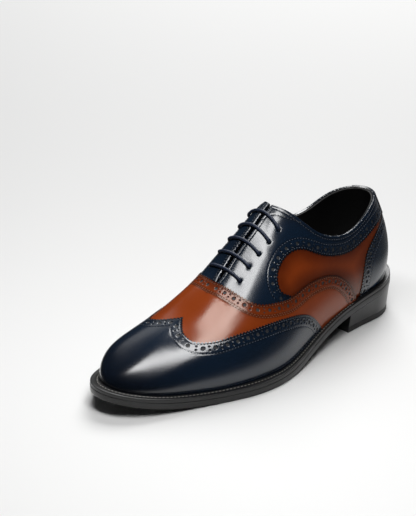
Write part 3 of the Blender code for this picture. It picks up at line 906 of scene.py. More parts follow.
    def faces_of(self, u, v):
        """Outer and inner face, distance from the nearest seam, and painted shade at stitch rows and cut
        rims.
        """
        base = last_point(u, v, self.side)
        outer = np.full(len(u), float(self.outer))
        inner = np.full(len(u), float(self.inner))
        for shape in self.shaping:
            outer += shape(u, v, base)
        for shape in self.backing:
            inner += shape(u, v, base)
        outer -= HOLE_DROP * (1 - np.clip(self.hole_gap(base) / HOLE_SOFT, 0, 1)) ** 2
        seam = np.full(len(u), FAR_FROM_SEAM)
        shade = np.zeros(len(u))
        # Painted shade darkens the troughs that the stitch rows pull in.
        for measure, _, sewn in self.bands:
            away = measure(base)[0]
            seam = np.minimum(seam, away)
            shade = np.maximum(shade, ROW_SHADE * stitch_dips(away, sewn) / STITCH_DIP)
        # Painted shade: a near-black rim along each cut edge.
        for measure in self.cut_runs:
            shade = np.maximum(shade, 1 - np.clip(measure(base)[0] / CUT_RIM, 0, 1))
        return skin(u, v, self.side, outer), skin(u, v, self.side, inner), seam, shade


def put(name, data):
    """Object in the scene that holds this data."""
    made = bpy.data.objects.new(name, data)
    bpy.context.scene.collection.objects.link(made)
    return made


def finished(name, vertices, faces, finish, **values):
    """Object at the origin from points in millimetres, with values for its material."""
    mesh = bpy.data.meshes.new(name)
    mesh.from_pydata(placed(vertices).tolist(), [], faces)
    for label, value in values.items():
        stored = mesh.attributes.new(label, "FLOAT", "POINT")
        stored.data.foreach_set("value", np.asarray(value, np.float32))
    mesh.materials.append(finish)
    mesh.shade_smooth()
    mesh.set_sharp_from_angle(angle=math.radians(SHARP_ANGLE))
    mesh.validate()
    return put(name, mesh)


def lay_sheet(name, cuts, finish):
    """Sheet of leather over the last from the cuts of its sides, closed all round."""
    halves, tris = [], []
    count = 0
    for cut in cuts:
        u, v, faces = cut.triangles()
        halves.append(cut.faces_of(u, v))
        tris.append((faces[:, ::-1] if cut.side > 0 else faces) + count)
        count += len(u)
    place = np.arange(count)
    if len(cuts) > 1:
        one, other = (half[0] for half in halves)
        away, nearest = distance_to(one)(other)
        place[len(one):] = np.where(away < SAME_POINT, nearest, place[len(one):])
    first, place = np.unique(place, return_inverse=True)
    tops, backs, seams, shades = (np.concatenate(parts)[first] for parts in zip(*halves))
    tris = place[np.concatenate(tris)]
    tris = tris[(tris[:, 0] != tris[:, 1]) & (tris[:, 1] != tris[:, 2]) & (tris[:, 2] != tris[:, 0])]
    directed = np.concatenate([tris[:, [0, 1]], tris[:, [1, 2]], tris[:, [2, 0]]])
    known = set(map(tuple, directed.tolist()))
    border = [(a, b) for a, b in known if (b, a) not in known]
    shift = len(tops)
    faces = tris.tolist() + (tris[:, ::-1] + shift).tolist()
    faces += [(b, a, a + shift, b + shift) for a, b in sorted(border)]
    seam = np.concatenate([seams, seams])
    # Painted shade: the back faces are near-black, so cut edges and hole walls darken down to them.
    shade = np.concatenate([shades, np.ones_like(shades)])
    return finished(name, np.concatenate([tops, backs]), faces, finish, seam=seam, shade=shade)


def back_holes(name, cuts, finish):
    """Near-black coins that close the punched holes from behind, as painted shade in the holes."""
    points, faces = [], []
    for cut in cuts:
        for u, v in cut.punched:
            count = len(u)
            start = len(points)
            for offset in HOLE_BACK:
                points += skin(u, v, cut.side, cut.inner + offset).tolist()
            top = list(range(start, start + count))
            low = list(range(start + count, start + 2 * count))
            walls = list(zip(top[1:] + top[:1], top, low, low[1:] + low[:1]))
            faces += [tuple(top), tuple(low[::-1])] + walls
    return finished(name, np.array(points), faces, finish)


def punched_row(line, ends):
    """Large holes along a band with pairs of small ones between them, as u, v and radius."""
    start, end = ends
    gaps = round((line.length - start - end) / PUNCH_PITCH)
    pitch = (line.length - start - end) / gaps
    large = start + pitch * np.arange(gaps + 1)
    small = large[:-1] + pitch / 2
    s = np.concatenate([large, small, small])
    d = PUNCH_ROW + np.repeat([0.0, -PUNCH_APART, PUNCH_APART], [gaps + 1, gaps, gaps])
    radii = np.repeat([PUNCH_LARGE, PUNCH_SMALL], [gaps + 1, 2 * gaps])
    u, v = line.inside(s, d)
    base = last_point(u, v, line.side)
    ridge = last_point(u, np.ones_like(u), line.side)
    foot = last_point(u, np.zeros_like(u), line.side)
    room = radii + PUNCH_ROOM
    clear = (v < 1) & (v > 0)
    clear &= np.linalg.norm(base - ridge, axis=1) > room
    clear &= np.linalg.norm(base - foot, axis=1) > room
    return u[clear], v[clear], radii[clear]


def eyelets(side):
    """Eyelets of one facing, as u and v."""
    u = turn_of(EYELET_LOWEST - EYELET_PITCH * np.arange(EYELET_ROWS))
    return u, beside_slit(u, EYELET_FROM_SLIT[side], side)


def eyelet_dimples(side):
    """Shallow hollow around each eyelet, where the lace pulls the facing in."""
    measure = distance_to(last_point(*eyelets(side), side))
    return lambda u, v, base: -EYELET_DIMPLE * np.exp(-(measure(base)[0] / EYELET_DIMPLE_WIDTH) ** 2)


def wing_cut(side):
    line = wing_line(side)
    run = sole_run(station(line.u[-1]), UPPER_FRONT)
    cut = Cut(side, joined(gimped(line), run, ridge_run(UPPER_FRONT, station(line.u[0]))), WING)
    cut.gimp(line, (OUTER_ROW, INNER_ROW), wing_line(-side))
    cut.punch(*punched_row(line, WING_PUNCH_ENDS))
    return cut


def vamp_cut(side):
    line = vamp_line(side)
    wing = wing_line(side)
    front = trimmed(*wing.inside(np.linspace(wing.length, 0, TUCK_POINTS), TUCK))
    run = sole_run(station(line.u[-1]), station(front[0][0]))
    ridge = ridge_run(VAMP_RIDGE_TUCK, station(line.u[0]))
    cut = Cut(side, joined(gimped(line), run, front, ridge), VAMP)
    cut.gimp(line, (OUTER_ROW, INNER_ROW, SECOND_ROW))
    cut.punch(*punched_row(line, VAMP_PUNCH_ENDS))
    return cut


def facing_cut(side):
    window = window_line(side)
    vamp = vamp_line(side)
    rim = rim_line(side, FACING_BACK)
    near = vamp.inside(np.linspace(0, vamp.length, NEAR_POINTS), TUCK_BACK)
    beyond = station(near[0]) < station(window.u[-1]) - WINDOW_END_CLEAR
    near = trimmed(near[0][beyond], near[1][beyond])
    far = trimmed(*vamp.inside(np.linspace(vamp.length, 0, TUCK_POINTS), TUCK))
    run = sole_run(station(near[0][-1]), station(far[0][0]))
    ridge = ridge_run(FACING_RIDGE_TUCK, THROAT)
    back = upright(FACING_BACK, rim.v[0], window.v[0], FACING_END_POINTS)
    outline = joined(gimped(window), near, run, far, ridge, backwards((rim.u, rim.v)), back)
    cut = Cut(side, outline, FACING)
    cut.gimp(window, (OUTER_ROW, INNER_ROW))
    cut.roll(rim)
    cut.add_band(seam_line(side), FACING_SEAM_ROWS, no_edge, (0.0,))
    cut.punch(*punched_row(window, WINDOW_PUNCH_ENDS))
    cut.add_holes(*eyelets(side), np.full(EYELET_ROWS, EYELET_RADIUS), EYELET_SIDES)
    cut.shaping.append(eyelet_dimples(side))
    return cut


def counter_cut(side):
    line = counter_line(side)
    run = sole_run(station(line.u[-1]), UPPER_BACK)
    cut = Cut(side, joined(gimped(line), run, back_run(0, line.v[0])), COUNTER)
    cut.gimp(line, (OUTER_ROW, INNER_ROW))
    cut.punch(*punched_row(line, COUNTER_PUNCH_ENDS))
    return cut


def strip_cut(side):
    rim = rim_line(side, UPPER_BACK, STRIP_EDGE)
    edge = Line(*upright(STRIP_EDGE, rim.v[-1], STRIP_LOW, STRIP_POINTS), side, 1)
    across = np.linspace(turn_of(STRIP_EDGE), 0, STRIP_POINTS)
    foot = Line(across, np.full(STRIP_POINTS, STRIP_LOW), side, 1)
    outline = joined((rim.u, rim.v), (edge.u, edge.v), (foot.u, foot.v), back_run(STRIP_LOW, rim.v[0]))
    cut = Cut(side, outline, STRIP)
    for line in (edge, foot):
        cut.add_band(line, STRIP_ROWS, cut_edge, (OUTER_ROW,))
    cut.roll(rim)
    return cut


def quarter_cut(side):
    u = np.linspace(turn_of(QUARTER_FRONT), 0, QUARTER_POINTS)
    v = QUARTER_TOP["v"](station(u))
    front = upright(QUARTER_FRONT, 0, v[0], END_POINTS)
    run = sole_run(UPPER_BACK, QUARTER_FRONT)
    cut = Cut(side, joined(run, front, (u, v), back_run(v[-1], 0)), QUARTER)
    # Painted shade on the quarter beside the pieces that lie over it.
    for line in (window_line(side), counter_line(side), vamp_line(side)):
        cut.paint_shade_beside(line)
    return cut


def lining_cut(side):
    rim = rim_line(side, UPPER_BACK)
    u, v = rim.inside(np.linspace(rim.length, 0, LINING_POINTS), LINING_BELOW_RIM)
    u = np.clip(u, 0, 1)
    v = np.minimum(v, 1)
    run = sole_run(UPPER_BACK, UPPER_FRONT)
    ridge = ridge_run(UPPER_FRONT, THROAT + LINING_FROM_THROAT)
    cut = Cut(side, joined(run, ridge, (u, v), back_run(v[-1], 0)), LINING)
    cut.add_holes(*eyelets(side), np.full(EYELET_ROWS, EYELET_RADIUS))
    return cut


def tongue_cut(side):
    u = np.linspace(turn_of(TONGUE_TOP), turn_of(TONGUE_FRONT), TONGUE_POINTS)
    half = np.interp(station(u), [TONGUE_TOP, TONGUE_FRONT], [TONGUE_HALF_TOP, TONGUE_HALF_FRONT])
    v = beside_slit(u, half, side)
    front = upright(TONGUE_FRONT, v[-1], 1, END_POINTS)
    top = upright(TONGUE_TOP, 1, v[0], END_POINTS)
    outline = joined((u, v), front, ridge_run(TONGUE_FRONT, TONGUE_TOP), top)
    cut = Cut(side, outline, (0.0, -TONGUE_THICK))

    def depth(u, v, base):
        rise = smooth(station(u), *TONGUE_DIP)
        return TONGUE_UNDER_LACE + (TONGUE_SEAT - TONGUE_UNDER_LACE) * rise

    cut.shaping.append(depth)
    cut.backing.append(depth)
    return cut


def from_grids(name, grids, finish):
    """Object from grids of points whose faces point out; points that meet are merged."""
    points, faces = [], []
    count = 0
    for grid, flip in grids:
        rows, columns = grid.shape[:2]
        index = count + np.arange(rows * columns).reshape(rows, columns)
        quads = np.stack([index[:-1, :-1], index[1:, :-1], index[1:, 1:], index[:-1, 1:]], -1)
        quads = quads.reshape(-1, 4)
        points.append(grid.reshape(-1, 3))
        faces.append(quads[:, ::-1] if flip else quads)
        count += rows * columns
    points = np.concatenate(points)
    cells = np.round(points * GRID_MERGE)
    _, first, place = np.unique(cells, axis=0, return_index=True, return_inverse=True)
    kept = []
    for face in place.ravel()[np.concatenate(faces)].tolist():
        corners = [corner for i, corner in enumerate(face) if corner != face[i - 1]]
        if len(corners) > 2:
            kept.append(corners)
    return finished(name, points[first], kept, finish)


def ring(u, level):
    """Closed outline at one level, outer side to the toe and back along the inner side."""
    height, inset = level
    points = []
    for side in SIDES:
        flat = plan(u, side, np.broadcast_to(inset(u), u.shape))
        line = np.concatenate([flat, height(flat[:, 0])[:, None]], 1)
        points.append(line if side > 0 else line[::-1])
    return np.concatenate(points)


def slab(name, u, levels, finish):
    """Closed body between outlines, lowest first, filled across at the bottom and the top."""
    rings = [ring(u, level) for level in levels]
    count = len(u)
    walls = (np.stack([np.vstack([r, r[:1]]) for r in rings]), False)
    floor = (np.stack([rings[0][:count], rings[0][:count - 1:-1]]), True)
    roof = (np.stack([rings[-1][:count], rings[-1][:count - 1:-1]]), False)
    return from_grids(name, [walls, floor, roof], finish)


def band(name, u, levels, finish):
    """Closed ring whose section runs through the levels in order and back to the first."""
    rings = [ring(u, level) for level in levels + levels[:1]]
    return from_grids(name, [(np.stack([np.vstack([r, r[:1]]) for r in rings]), False)], finish)


def above_sole(height):
    """Level that follows the outsole's underside."""
    return lambda x: sole_bottom(x) + height


def level_at(height):
    """Level that runs even with the floor."""
    return lambda x: np.full(np.shape(x), height)


def inset_by(amount):
    """The same distance in from the sole's edge all round."""
    return lambda u: amount


def inside_ledge(amount):
    """Distance in from the sole's edge, counted from where the upper sits."""
    return lambda u: PLAN["seat"](between(u, 0, LENGTH)) + amount


def beside_stitches(aside):
    """Distance in from the sole's edge, counted from the welt's stitches."""
    return lambda u: WELT_SET_BACK + WELT_STITCH_PLACE * PLAN["seat"](between(u, 0, LENGTH)) + aside


def corner(rise, centre, inset, radius, turns):
    """Levels around a rounded edge, between two angles of its turn."""
    levels = []
    for turn in np.radians(np.linspace(*turns, CORNER_LEVELS)):
        height = centre + radius * math.sin(turn)
        levels.append((rise(height), inset_by(inset + radius - radius * math.cos(turn))))
    return levels


def low_corner(rise, height, inset, radius):
    """Levels around a rounded lower edge."""
    return corner(rise, height + radius, inset, radius, (-90, 0))


def high_corner(rise, height, inset, radius):
    """Levels around a rounded upper edge."""
    return corner(rise, height - radius, inset, radius, (0, 90))


def eyelet_row(row):
    """Station of an eyelet pair, counted up from the throat."""
    return EYELET_LOWEST - EYELET_PITCH * row


def across_slit(x, across):
    """Place beside the slit, across it by so many millimetres, outer side positive, as u, v and side."""
    side = 1 if across >= 0 else -1
    u = turn_of(np.array([x]))
    return u, beside_slit(u, abs(across), side), side


def on_facing(x, across, offset):
    """Point beside the slit at this offset from the last."""
    return skin(*across_slit(x, across), offset)[0]


def straightness(a, b):
    """Cosine of the angle between two directions."""
    return float(np.dot(a, b) / (np.linalg.norm(a) * np.linalg.norm(b)))


def rounded(corners, radius):
    """Polyline with each inner corner turned through a short curve."""
    points = [corners[0]]
    for before, corner, after in zip(corners[:-2], corners[1:-1], corners[2:]):
        start = corner + (before - corner) * min(0.5, radius / np.linalg.norm(before - corner))
        end = corner + (after - corner) * min(0.5, radius / np.linalg.norm(after - corner))
        if straightness(corner - before, after - corner) > NEARLY_STRAIGHT:
            points.append(corner)
            continue
        for t in np.linspace(0, 1, BEND_POINTS):
            points.append((1 - t) ** 2 * start + 2 * t * (1 - t) * corner + t**2 * end)
    return points + [corners[-1]]


def lace_route():
    """Straight-bar lacing: both ends climb hidden from the lowest bar and stop at the top pair."""
    top = EYELET_ROWS - 1
    route = []

    def hidden(row, across):
        route.append(on_facing(eyelet_row(row), across, LACE_UNDER))

    def bar(row, side):
        start = side * EYELET_FROM_SLIT[side]
        end = -side * EYELET_FROM_SLIT[-side]
        hidden(row, start)
        for across in np.linspace(start, end, BAR_POINTS):
            route.append(on_facing(eyelet_row(row), across, LACE_OVER))
        hidden(row, end)

    def pass_by(row, side, sideways):
        for part in (-PASSING_SPAN, PASSING_SPAN):
            hidden(row + part, side * (EYELET_FROM_SLIT[side] + sideways))

    hidden(top - LACE_END, EYELET_FROM_SLIT[1] - PASSING)
    bar(3, 1)
    pass_by(2, -1, -PASSING)
    bar(1, -1)
    bar(0, 1)
    pass_by(1, -1, PASSING)
    bar(2, -1)
    pass_by(3, 1, PASSING)
    bar(4, 1)
    hidden(top - LACE_END, -EYELET_FROM_SLIT[-1])
    return np.array(rounded(route, LACE_BEND))


def evenly(path, step):
    """The same path with points at even distances, its corners eased."""
    for _ in range(2):
        along = lengths_along(path)
        even = np.linspace(0, along[-1], int(along[-1] / step))
        path = np.stack([np.interp(even, along, column) for column in path.T], -1)
        for _ in range(4):
            path[1:-1] = (path[:-2] + 2 * path[1:-1] + path[2:]) / 4
    return path


def cord(name, path, finish):
    """Round braided cord along a path, closed at both ends."""
    tangent = unit(np.gradient(path, axis=0))
    across = np.zeros_like(path)
    across[0] = unit(np.cross(tangent[0], (0.0, 0.0, 1.0)))
    for i in range(1, len(path)):
        across[i] = unit(across[i - 1] - tangent[i] * np.dot(across[i - 1], tangent[i]))
    upward = np.cross(tangent, across)
    turn = np.linspace(0, 2 * np.pi, CORD_SIDES + 1)
    wave = 2 * np.pi * lengths_along(path)[:, None] / BRAID_LENGTH
    strands = np.maximum(np.sin(wave + BRAID_STRANDS * turn), np.sin(wave - BRAID_STRANDS * turn))
    radius = (LACE_RADIUS - BRAID_DEEP + BRAID_DEEP * strands)[..., None]
    turn = turn[None, :, None]
    outward = np.cos(turn) * across[:, None] + np.sin(turn) * upward[:, None]
    grid = path[:, None] + radius * outward
    ends = [np.broadcast_to(path[i], grid[:1].shape) for i in (0, -1)]
    return from_grids(name, [(np.concatenate([ends[0], grid, ends[1]]), True)], finish)


def add(tree, kind, sockets=None, **settings):
    """One node; each of its sockets takes a value, or the output that feeds it."""
    made = tree.nodes.new(kind)
    for name, value in settings.items():
        setattr(made, name, value)
    for key, value in (sockets or {}).items():
        if isinstance(value, bpy.types.NodeSocket):
            tree.links.new(value, made.inputs[key])
        else:
            made.inputs[key].default_value = value
    return made


def stitch_tree():
    """Node tree that lays rounded stitches along the edges of a mesh."""
    tree = bpy.data.node_groups.new("stitches", "GeometryNodeTree")
    inputs = (("Geometry", "Geometry"), ("Pitch", "Float"), ("Size", "Vector"), ("Thread", "Material"))
    for label, kind in inputs:
        tree.interface.new_socket(label, in_out="INPUT", socket_type="NodeSocket" + kind)
    tree.interface.new_socket("Geometry", in_out="OUTPUT", socket_type="NodeSocketGeometry")
    start = add(tree, "NodeGroupInput").outputs
    paths = add(tree, "GeometryNodeMeshToCurve", {"Mesh": start["Geometry"]}).outputs["Curve"]
    spots = add(tree, "GeometryNodeResampleCurve", {"Curve": paths, "Length": start["Pitch"]},
                mode="LENGTH").outputs["Curve"]
    ball = add(tree, "GeometryNodeMeshUVSphere", {"Segments": 8, "Rings": 6, "Radius": 0.5}).outputs["Mesh"]
    stitch = add(tree, "GeometryNodeTransform", {"Geometry": ball, "Scale": start["Size"]}).outputs[0]
    even = add(tree, "GeometryNodeSetShadeSmooth", {"Geometry": stitch}).outputs[0]
    along = add(tree, "GeometryNodeInputTangent").outputs[0]
    out = add(tree, "GeometryNodeInputNamedAttribute", {"Name": "outward"},
              data_type="FLOAT_VECTOR").outputs[0]
    first = add(tree, "FunctionNodeAlignRotationToVector", {"Vector": along}, axis="X").outputs[0]
    turned = add(tree, "FunctionNodeAlignRotationToVector", {"Rotation": first, "Vector": out},
                 axis="Z", pivot_axis="X").outputs[0]
    laid = add(tree, "GeometryNodeInstanceOnPoints",
               {"Points": spots, "Instance": even, "Rotation": turned}).outputs[0]
    real = add(tree, "GeometryNodeRealizeInstances", {"Geometry": laid}).outputs[0]
    done = add(tree, "GeometryNodeSetMaterial", {"Geometry": real, "Material": start["Thread"]}).outputs[0]
    add(tree, "NodeGroupOutput", {"Geometry": done})
    return tree


def sew(name, paths, pitch, size, thread, tree):
    """Stitches along paths, each given as points and outward directions."""
    vertices = np.concatenate([path[0] for path in paths])
    outward = np.concatenate([path[1] for path in paths])
    edges = []
    count = 0
    for path in paths:
        edges += [(count + i, count + i + 1) for i in range(len(path[0]) - 1)]
        count += len(path[0])
    mesh = bpy.data.meshes.new(name)
    mesh.from_pydata(placed(vertices).tolist(), edges, [])
    mesh.attributes.new("outward", "FLOAT_VECTOR", "POINT").data.foreach_set("vector", outward.ravel())
    made = put(name, mesh)
    sewing = made.modifiers.new("sewing", "NODES")
    sewing.node_group = tree
    values = {"Pitch": pitch * MM, "Size": [part * MM for part in size], "Thread": thread}
    for item in tree.interface.items_tree:
        if item.in_out == "INPUT" and item.name in values:
            sewing[item.identifier] = values[item.name]
    made.update_tag()
    ready = made.evaluated_get(bpy.context.evaluated_depsgraph_get())
    sewn = bpy.data.meshes.new_from_object(ready)
    made.modifiers.clear()
    made.data = sewn
    bpy.data.meshes.remove(mesh)
    sewn.name = name
    return made


def row_path(line, d, offset, start=0.0, end=0.0):
    """Stitch path d in from a line, on a face at this offset."""
    s = np.arange(start, line.length - end, STITCH_STEP)
    u, v = trimmed(*line.inside(s, d))
    return skin(u, v, line.side, offset), facing_out(u, v, line.side)


def shader_group(name, inputs, outputs):
    """Empty shader group with named values, and its two ends."""
    tree = bpy.data.node_groups.new(name, "ShaderNodeTree")
    for in_out, sockets in (("INPUT", inputs), ("OUTPUT", outputs)):
        for label, kind in sockets:
            tree.interface.new_socket(label, in_out=in_out, socket_type=kind)
    return tree, add(tree, "NodeGroupInput").outputs


def sums(tree, operation, *terms, clamp=False):
    """Output of a sum over values and outputs."""
    made = add(tree, "ShaderNodeMath", dict(enumerate(terms)), operation=operation, use_clamp=clamp)
    return made.outputs[0]


def eased(tree, value, source, target):
    """Output that goes softly from one range to another."""
    ends = {"From Min": source[0], "From Max": source[1], "To Min": target[0], "To Max": target[1]}
    made = add(tree, "ShaderNodeMapRange", {"Value": value, **ends}, interpolation_type="SMOOTHSTEP")
    return made.outputs[0]


def clouds(tree, where, scale, detail, roughness=0.5):
    """Output of a soft noise."""
    values = {"Vector": where, "Scale": scale, "Detail": detail, "Roughness": roughness}
    return add(tree, "ShaderNodeTexNoise", values).outputs[0]


def mixed(tree, share, colour, other):
    """Output between two colours."""
    return add(tree, "ShaderNodeMix", {0: share, 6: colour, 7: other}, data_type="RGBA").outputs[2]


COLOUR = "NodeSocketColor"
VALUE = "NodeSocketFloat"
# Near-black of the dark cut edges, also used as painted shade in stitch troughs, at cut rims and down cut
# walls
EDGE_AND_SHADE_DARK = (0.003, 0.0028, 0.003, 1.0)
CLOUD_MIDDLE = 0.42
POLISH_MIDDLE = 0.5
TOE_DARK = (0.08, 0.145)
GRAIN_DEEP = 0.0002
TWIST_DEEP = 0.0001
TWIST_DARK = 0.55


def burnish_and_shade_group():
    """Colour of polished leather, clouded and burnished at seams and toe, with painted shade mixed in."""
    tree, start = shader_group("burnish_and_painted_shade", [
        ("Colour", COLOUR), ("Dark", COLOUR), ("Edge", VALUE), ("Reach", VALUE), ("Cloud", VALUE),
        ("Toe", VALUE)], [("Colour", COLOUR)])
    where = add(tree, "ShaderNodeTexCoord").outputs["Object"]
    seam = add(tree, "ShaderNodeAttribute", attribute_name="seam").outputs["Fac"]
    near = eased(tree, seam, (0.0, start["Reach"]), (1.0, 0.0))
    edge = sums(tree, "MULTIPLY", near, start["Edge"])
    cloud = clouds(tree, where, 26.0, 4.0, 0.6)
    centred = sums(tree, "SUBTRACT", cloud, CLOUD_MIDDLE)
    along = add(tree, "ShaderNodeSeparateXYZ", {0: where}).outputs[0]
    tip = eased(tree, along, TOE_DARK, (0.0, start["Toe"]))
    rubbed_and_shaded = sums(tree, "ADD", edge, tip)
    mottle_and_shade = sums(tree, "MULTIPLY_ADD", centred, start["Cloud"], rubbed_and_shaded, clamp=True)
    tinted = mixed(tree, mottle_and_shade, start["Colour"], start["Dark"])
    # Painted shade: the shade values mix the colour towards near-black.
    shade = add(tree, "ShaderNodeAttribute", attribute_name="shade").outputs["Fac"]
    add(tree, "NodeGroupOutput", {"Colour": mixed(tree, shade, tinted, EDGE_AND_SHADE_DARK)})
    return tree


def grain_group():
    """Fine grain of finished leather as a height."""
    tree, start = shader_group("leather_grain", [("Scale", VALUE), ("Ripple", VALUE)], [("Height", VALUE)])
    where = add(tree, "ShaderNodeTexCoord").outputs["Object"]
    cells = add(tree, "ShaderNodeTexVoronoi", {"Vector": where, "Scale": start["Scale"]},
                feature="SMOOTH_F1").outputs["Distance"]
    ripple = sums(tree, "MULTIPLY", clouds(tree, where, 160.0, 3.0), start["Ripple"])
    add(tree, "NodeGroupOutput", {"Height": sums(tree, "ADD", cells, ripple)})
    return tree


def polish_group():
    """Roughness that wanders a little over the surface."""
    tree, start = shader_group("polish", [("Roughness", VALUE), ("Spread", VALUE)], [("Roughness", VALUE)])
    where = add(tree, "ShaderNodeTexCoord").outputs["Object"]
    centred = sums(tree, "SUBTRACT", clouds(tree, where, 55.0, 5.0, 0.65), POLISH_MIDDLE)
    wandering = sums(tree, "MULTIPLY_ADD", centred, start["Spread"], start["Roughness"])
    add(tree, "NodeGroupOutput", {"Roughness": wandering})
    return tree


BURNISH_AND_SHADE = burnish_and_shade_group()
GRAIN = grain_group()
POLISH = polish_group()


def group(tree, kind, **values):
    """A shader group in a material, with its values set."""
    made = add(tree, "ShaderNodeGroup", node_tree=kind)
    for name, value in values.items():
        made.inputs[name].default_value = value
    return made


def blank(name):
    """New material, its nodes and its shader."""
    made = bpy.data.materials.new(name)
    made.use_nodes = True
    return made, made.node_tree, made.node_tree.nodes["Principled BSDF"]


def leather(name, colour, dark, cloud, roughness, spread, grain, ripple, bump,
            coat=0.0, edge=0.0, reach=1.0, toe=0.0):
    """Finished leather: burnished colour with painted shade, fine grain, uneven polish and a clear dressing
    on top.
    """
    made, tree, shader = blank(name)
    tint = group(tree, BURNISH_AND_SHADE, Colour=(*colour, 1.0), Dark=(*dark, 1.0), Edge=edge, Reach=reach,
                 Cloud=cloud, Toe=toe)
    sheen = group(tree, POLISH, Roughness=roughness, Spread=spread)
    height = group(tree, GRAIN, Scale=grain, Ripple=ripple).outputs[0]
    relief = add(tree, "ShaderNodeBump", {"Height": height, "Strength": bump, "Distance": GRAIN_DEEP})
    tree.links.new(tint.outputs[0], shader.inputs["Base Color"])
    tree.links.new(sheen.outputs[0], shader.inputs["Roughness"])
    tree.links.new(relief.outputs[0], shader.inputs["Normal"])
    tree.links.new(relief.outputs[0], shader.inputs["Coat Normal"])
    shader.inputs["Coat Weight"].default_value = coat
    shader.inputs["Coat Roughness"].default_value = 0.2
    return made


def thread(name, colour):
    """Waxed sewing thread with a fine twist."""
    made, tree, shader = blank(name)
    where = add(tree, "ShaderNodeTexCoord").outputs["Object"]
    twist = clouds(tree, where, 2600.0, 2.0)
    dark = [part * TWIST_DARK for part in colour]
    tint = mixed(tree, twist, (*colour, 1.0), (*dark, 1.0))
    relief = add(tree, "ShaderNodeBump", {"Height": twist, "Strength": 0.4, "Distance": TWIST_DEEP})
    tree.links.new(tint, shader.inputs["Base Color"])
    tree.links.new(relief.outputs[0], shader.inputs["Normal"])
    shader.inputs["Roughness"].default_value = 0.55
    return made


NAVY = leather(
    "navy_calf", colour=(0.0040, 0.0125, 0.0285), dark=(0.0020, 0.0032, 0.0070), cloud=0.5,
    roughness=0.19, spread=0.08, grain=1500.0, ripple=1.4, bump=0.06, coat=0.8,
    edge=0.35, reach=9.0, toe=0.8)
BROWN = leather(
    "cognac_calf", colour=(0.265, 0.043, 0.0060), dark=(0.080, 0.0115, 0.0020), cloud=0.8,
    roughness=0.22, spread=0.08, grain=1500.0, ripple=1.4, bump=0.06, coat=0.25,
    edge=0.75, reach=16.0)
BROWN.node_tree.nodes["Principled BSDF"].inputs["Specular Tint"].default_value = (1.0, 0.85, 0.74, 1.0)
BLACK = leather(
    "black_lining", colour=(0.034, 0.034, 0.036), dark=(0.018, 0.018, 0.019), cloud=0.6,
    roughness=0.62, spread=0.15, grain=1100.0, ripple=0.8, bump=0.3)
SOLE = leather(
    "sole_edge_dressing", colour=(0.008, 0.008, 0.0085), dark=(0.004, 0.004, 0.0045), cloud=0.8,
    roughness=0.34, spread=0.15, grain=700.0, ripple=1.5, bump=0.12, coat=0.1)
RUBBER = leather(
    "heel_rubber", colour=(0.011, 0.011, 0.011), dark=(0.007, 0.007, 0.007), cloud=0.6,
    roughness=0.55, spread=0.15, grain=2200.0, ripple=0.6, bump=0.3)
CORD = leather(
    "waxed_cord", colour=(0.0095, 0.018, 0.044), dark=(0.004, 0.008, 0.02), cloud=0.8,
    roughness=0.5, spread=0.15, grain=3000.0, ripple=0.5, bump=0.3)
NAVY_THREAD = thread("navy_thread", (0.075, 0.090, 0.120))
BROWN_THREAD = thread("brown_thread", (0.26, 0.085, 0.030))
WELT_THREAD = thread("welt_thread", (0.34, 0.325, 0.30))


def both(cut):
    """The same cut for both sides."""
    return [cut(side) for side in SIDES]


def belongs(piece, node):
    """Every piece rides on the shoe; it may stand for a solid, whose part is then hidden."""
    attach(piece, "root")
    if node:
        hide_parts(node)


def build_upper():
    wing, vamp, counter = both(wing_cut), both(vamp_cut), both(counter_cut)
    outer, inner = facing_cut(1), facing_cut(-1)
    sheets = (
        ("quarter_leather", both(quarter_cut), BROWN, "upper", "brown_leather"),
        ("lining_leather", both(lining_cut), BLACK, "upper", "lining_leather"),
        ("tongue_leather", both(tongue_cut), BLACK, "tongue", "lining_leather"),
        ("wing_cap_leather", wing, NAVY, "wing_cap", "navy_leather"),
        ("vamp_leather", vamp, BROWN, "vamp", "brown_leather"),
        ("facing_outer_leather", [outer], NAVY, "facing_outer", "navy_leather"),
        ("facing_inner_leather", [inner], NAVY, "facing_inner", "navy_leather"),
        ("counter_leather", counter, NAVY, "counter", "navy_leather"),
        ("back_strip_leather", both(strip_cut), NAVY, "back_strip", "navy_leather"),
    )
    for name, cuts, finish, node, slot in sheets:
        belongs(lay_sheet(name, cuts, finish), node)
    # Painted shade: near-black coins close the punched holes from behind.
    backing = back_holes("hole_shade_backing", wing + vamp + counter + [outer, inner], BLACK)
    belongs(backing, None)
    belongs(cord("lace_cord", evenly(lace_route(), CORD_STEP), CORD), "lace")


SOLE_TURNS = np.linspace(0, 1, SOLE_STEPS)
HEEL_TURNS = np.linspace(0, turn_of(HEEL_LENGTH, 0, LENGTH), HEEL_STEPS)
WELT_LOW = OUTSOLE + GAP
WELT_HIGH = WELT_LOW + WELT


def build_outsole():
    levels = low_corner(above_sole, 0, 0, TREAD_CORNER)
    levels += high_corner(above_sole, OUTSOLE + OUTSOLE_OVERLAP, 0, LAID_CORNER)
    belongs(slab("outsole_leather", SOLE_TURNS, levels, SOLE), "outsole")


def build_heel():
    foot = (level_at(TOP_PIECE + GAP / 2), inset_by(HEEL_TAPER))
    seat = (above_sole(-GAP / 2), inset_by(HEEL_SET_BACK))
    belongs(slab("heel_stack_leather", HEEL_TURNS, [foot, seat], SOLE), "heel_stack")
    lift = low_corner(level_at, 0, HEEL_TAPER, TREAD_CORNER)
    lift += high_corner(level_at, TOP_PIECE, HEEL_TAPER, LIFT_CORNER)
    belongs(slab("heel_top_rubber", HEEL_TURNS, lift, RUBBER), "heel_top_piece")


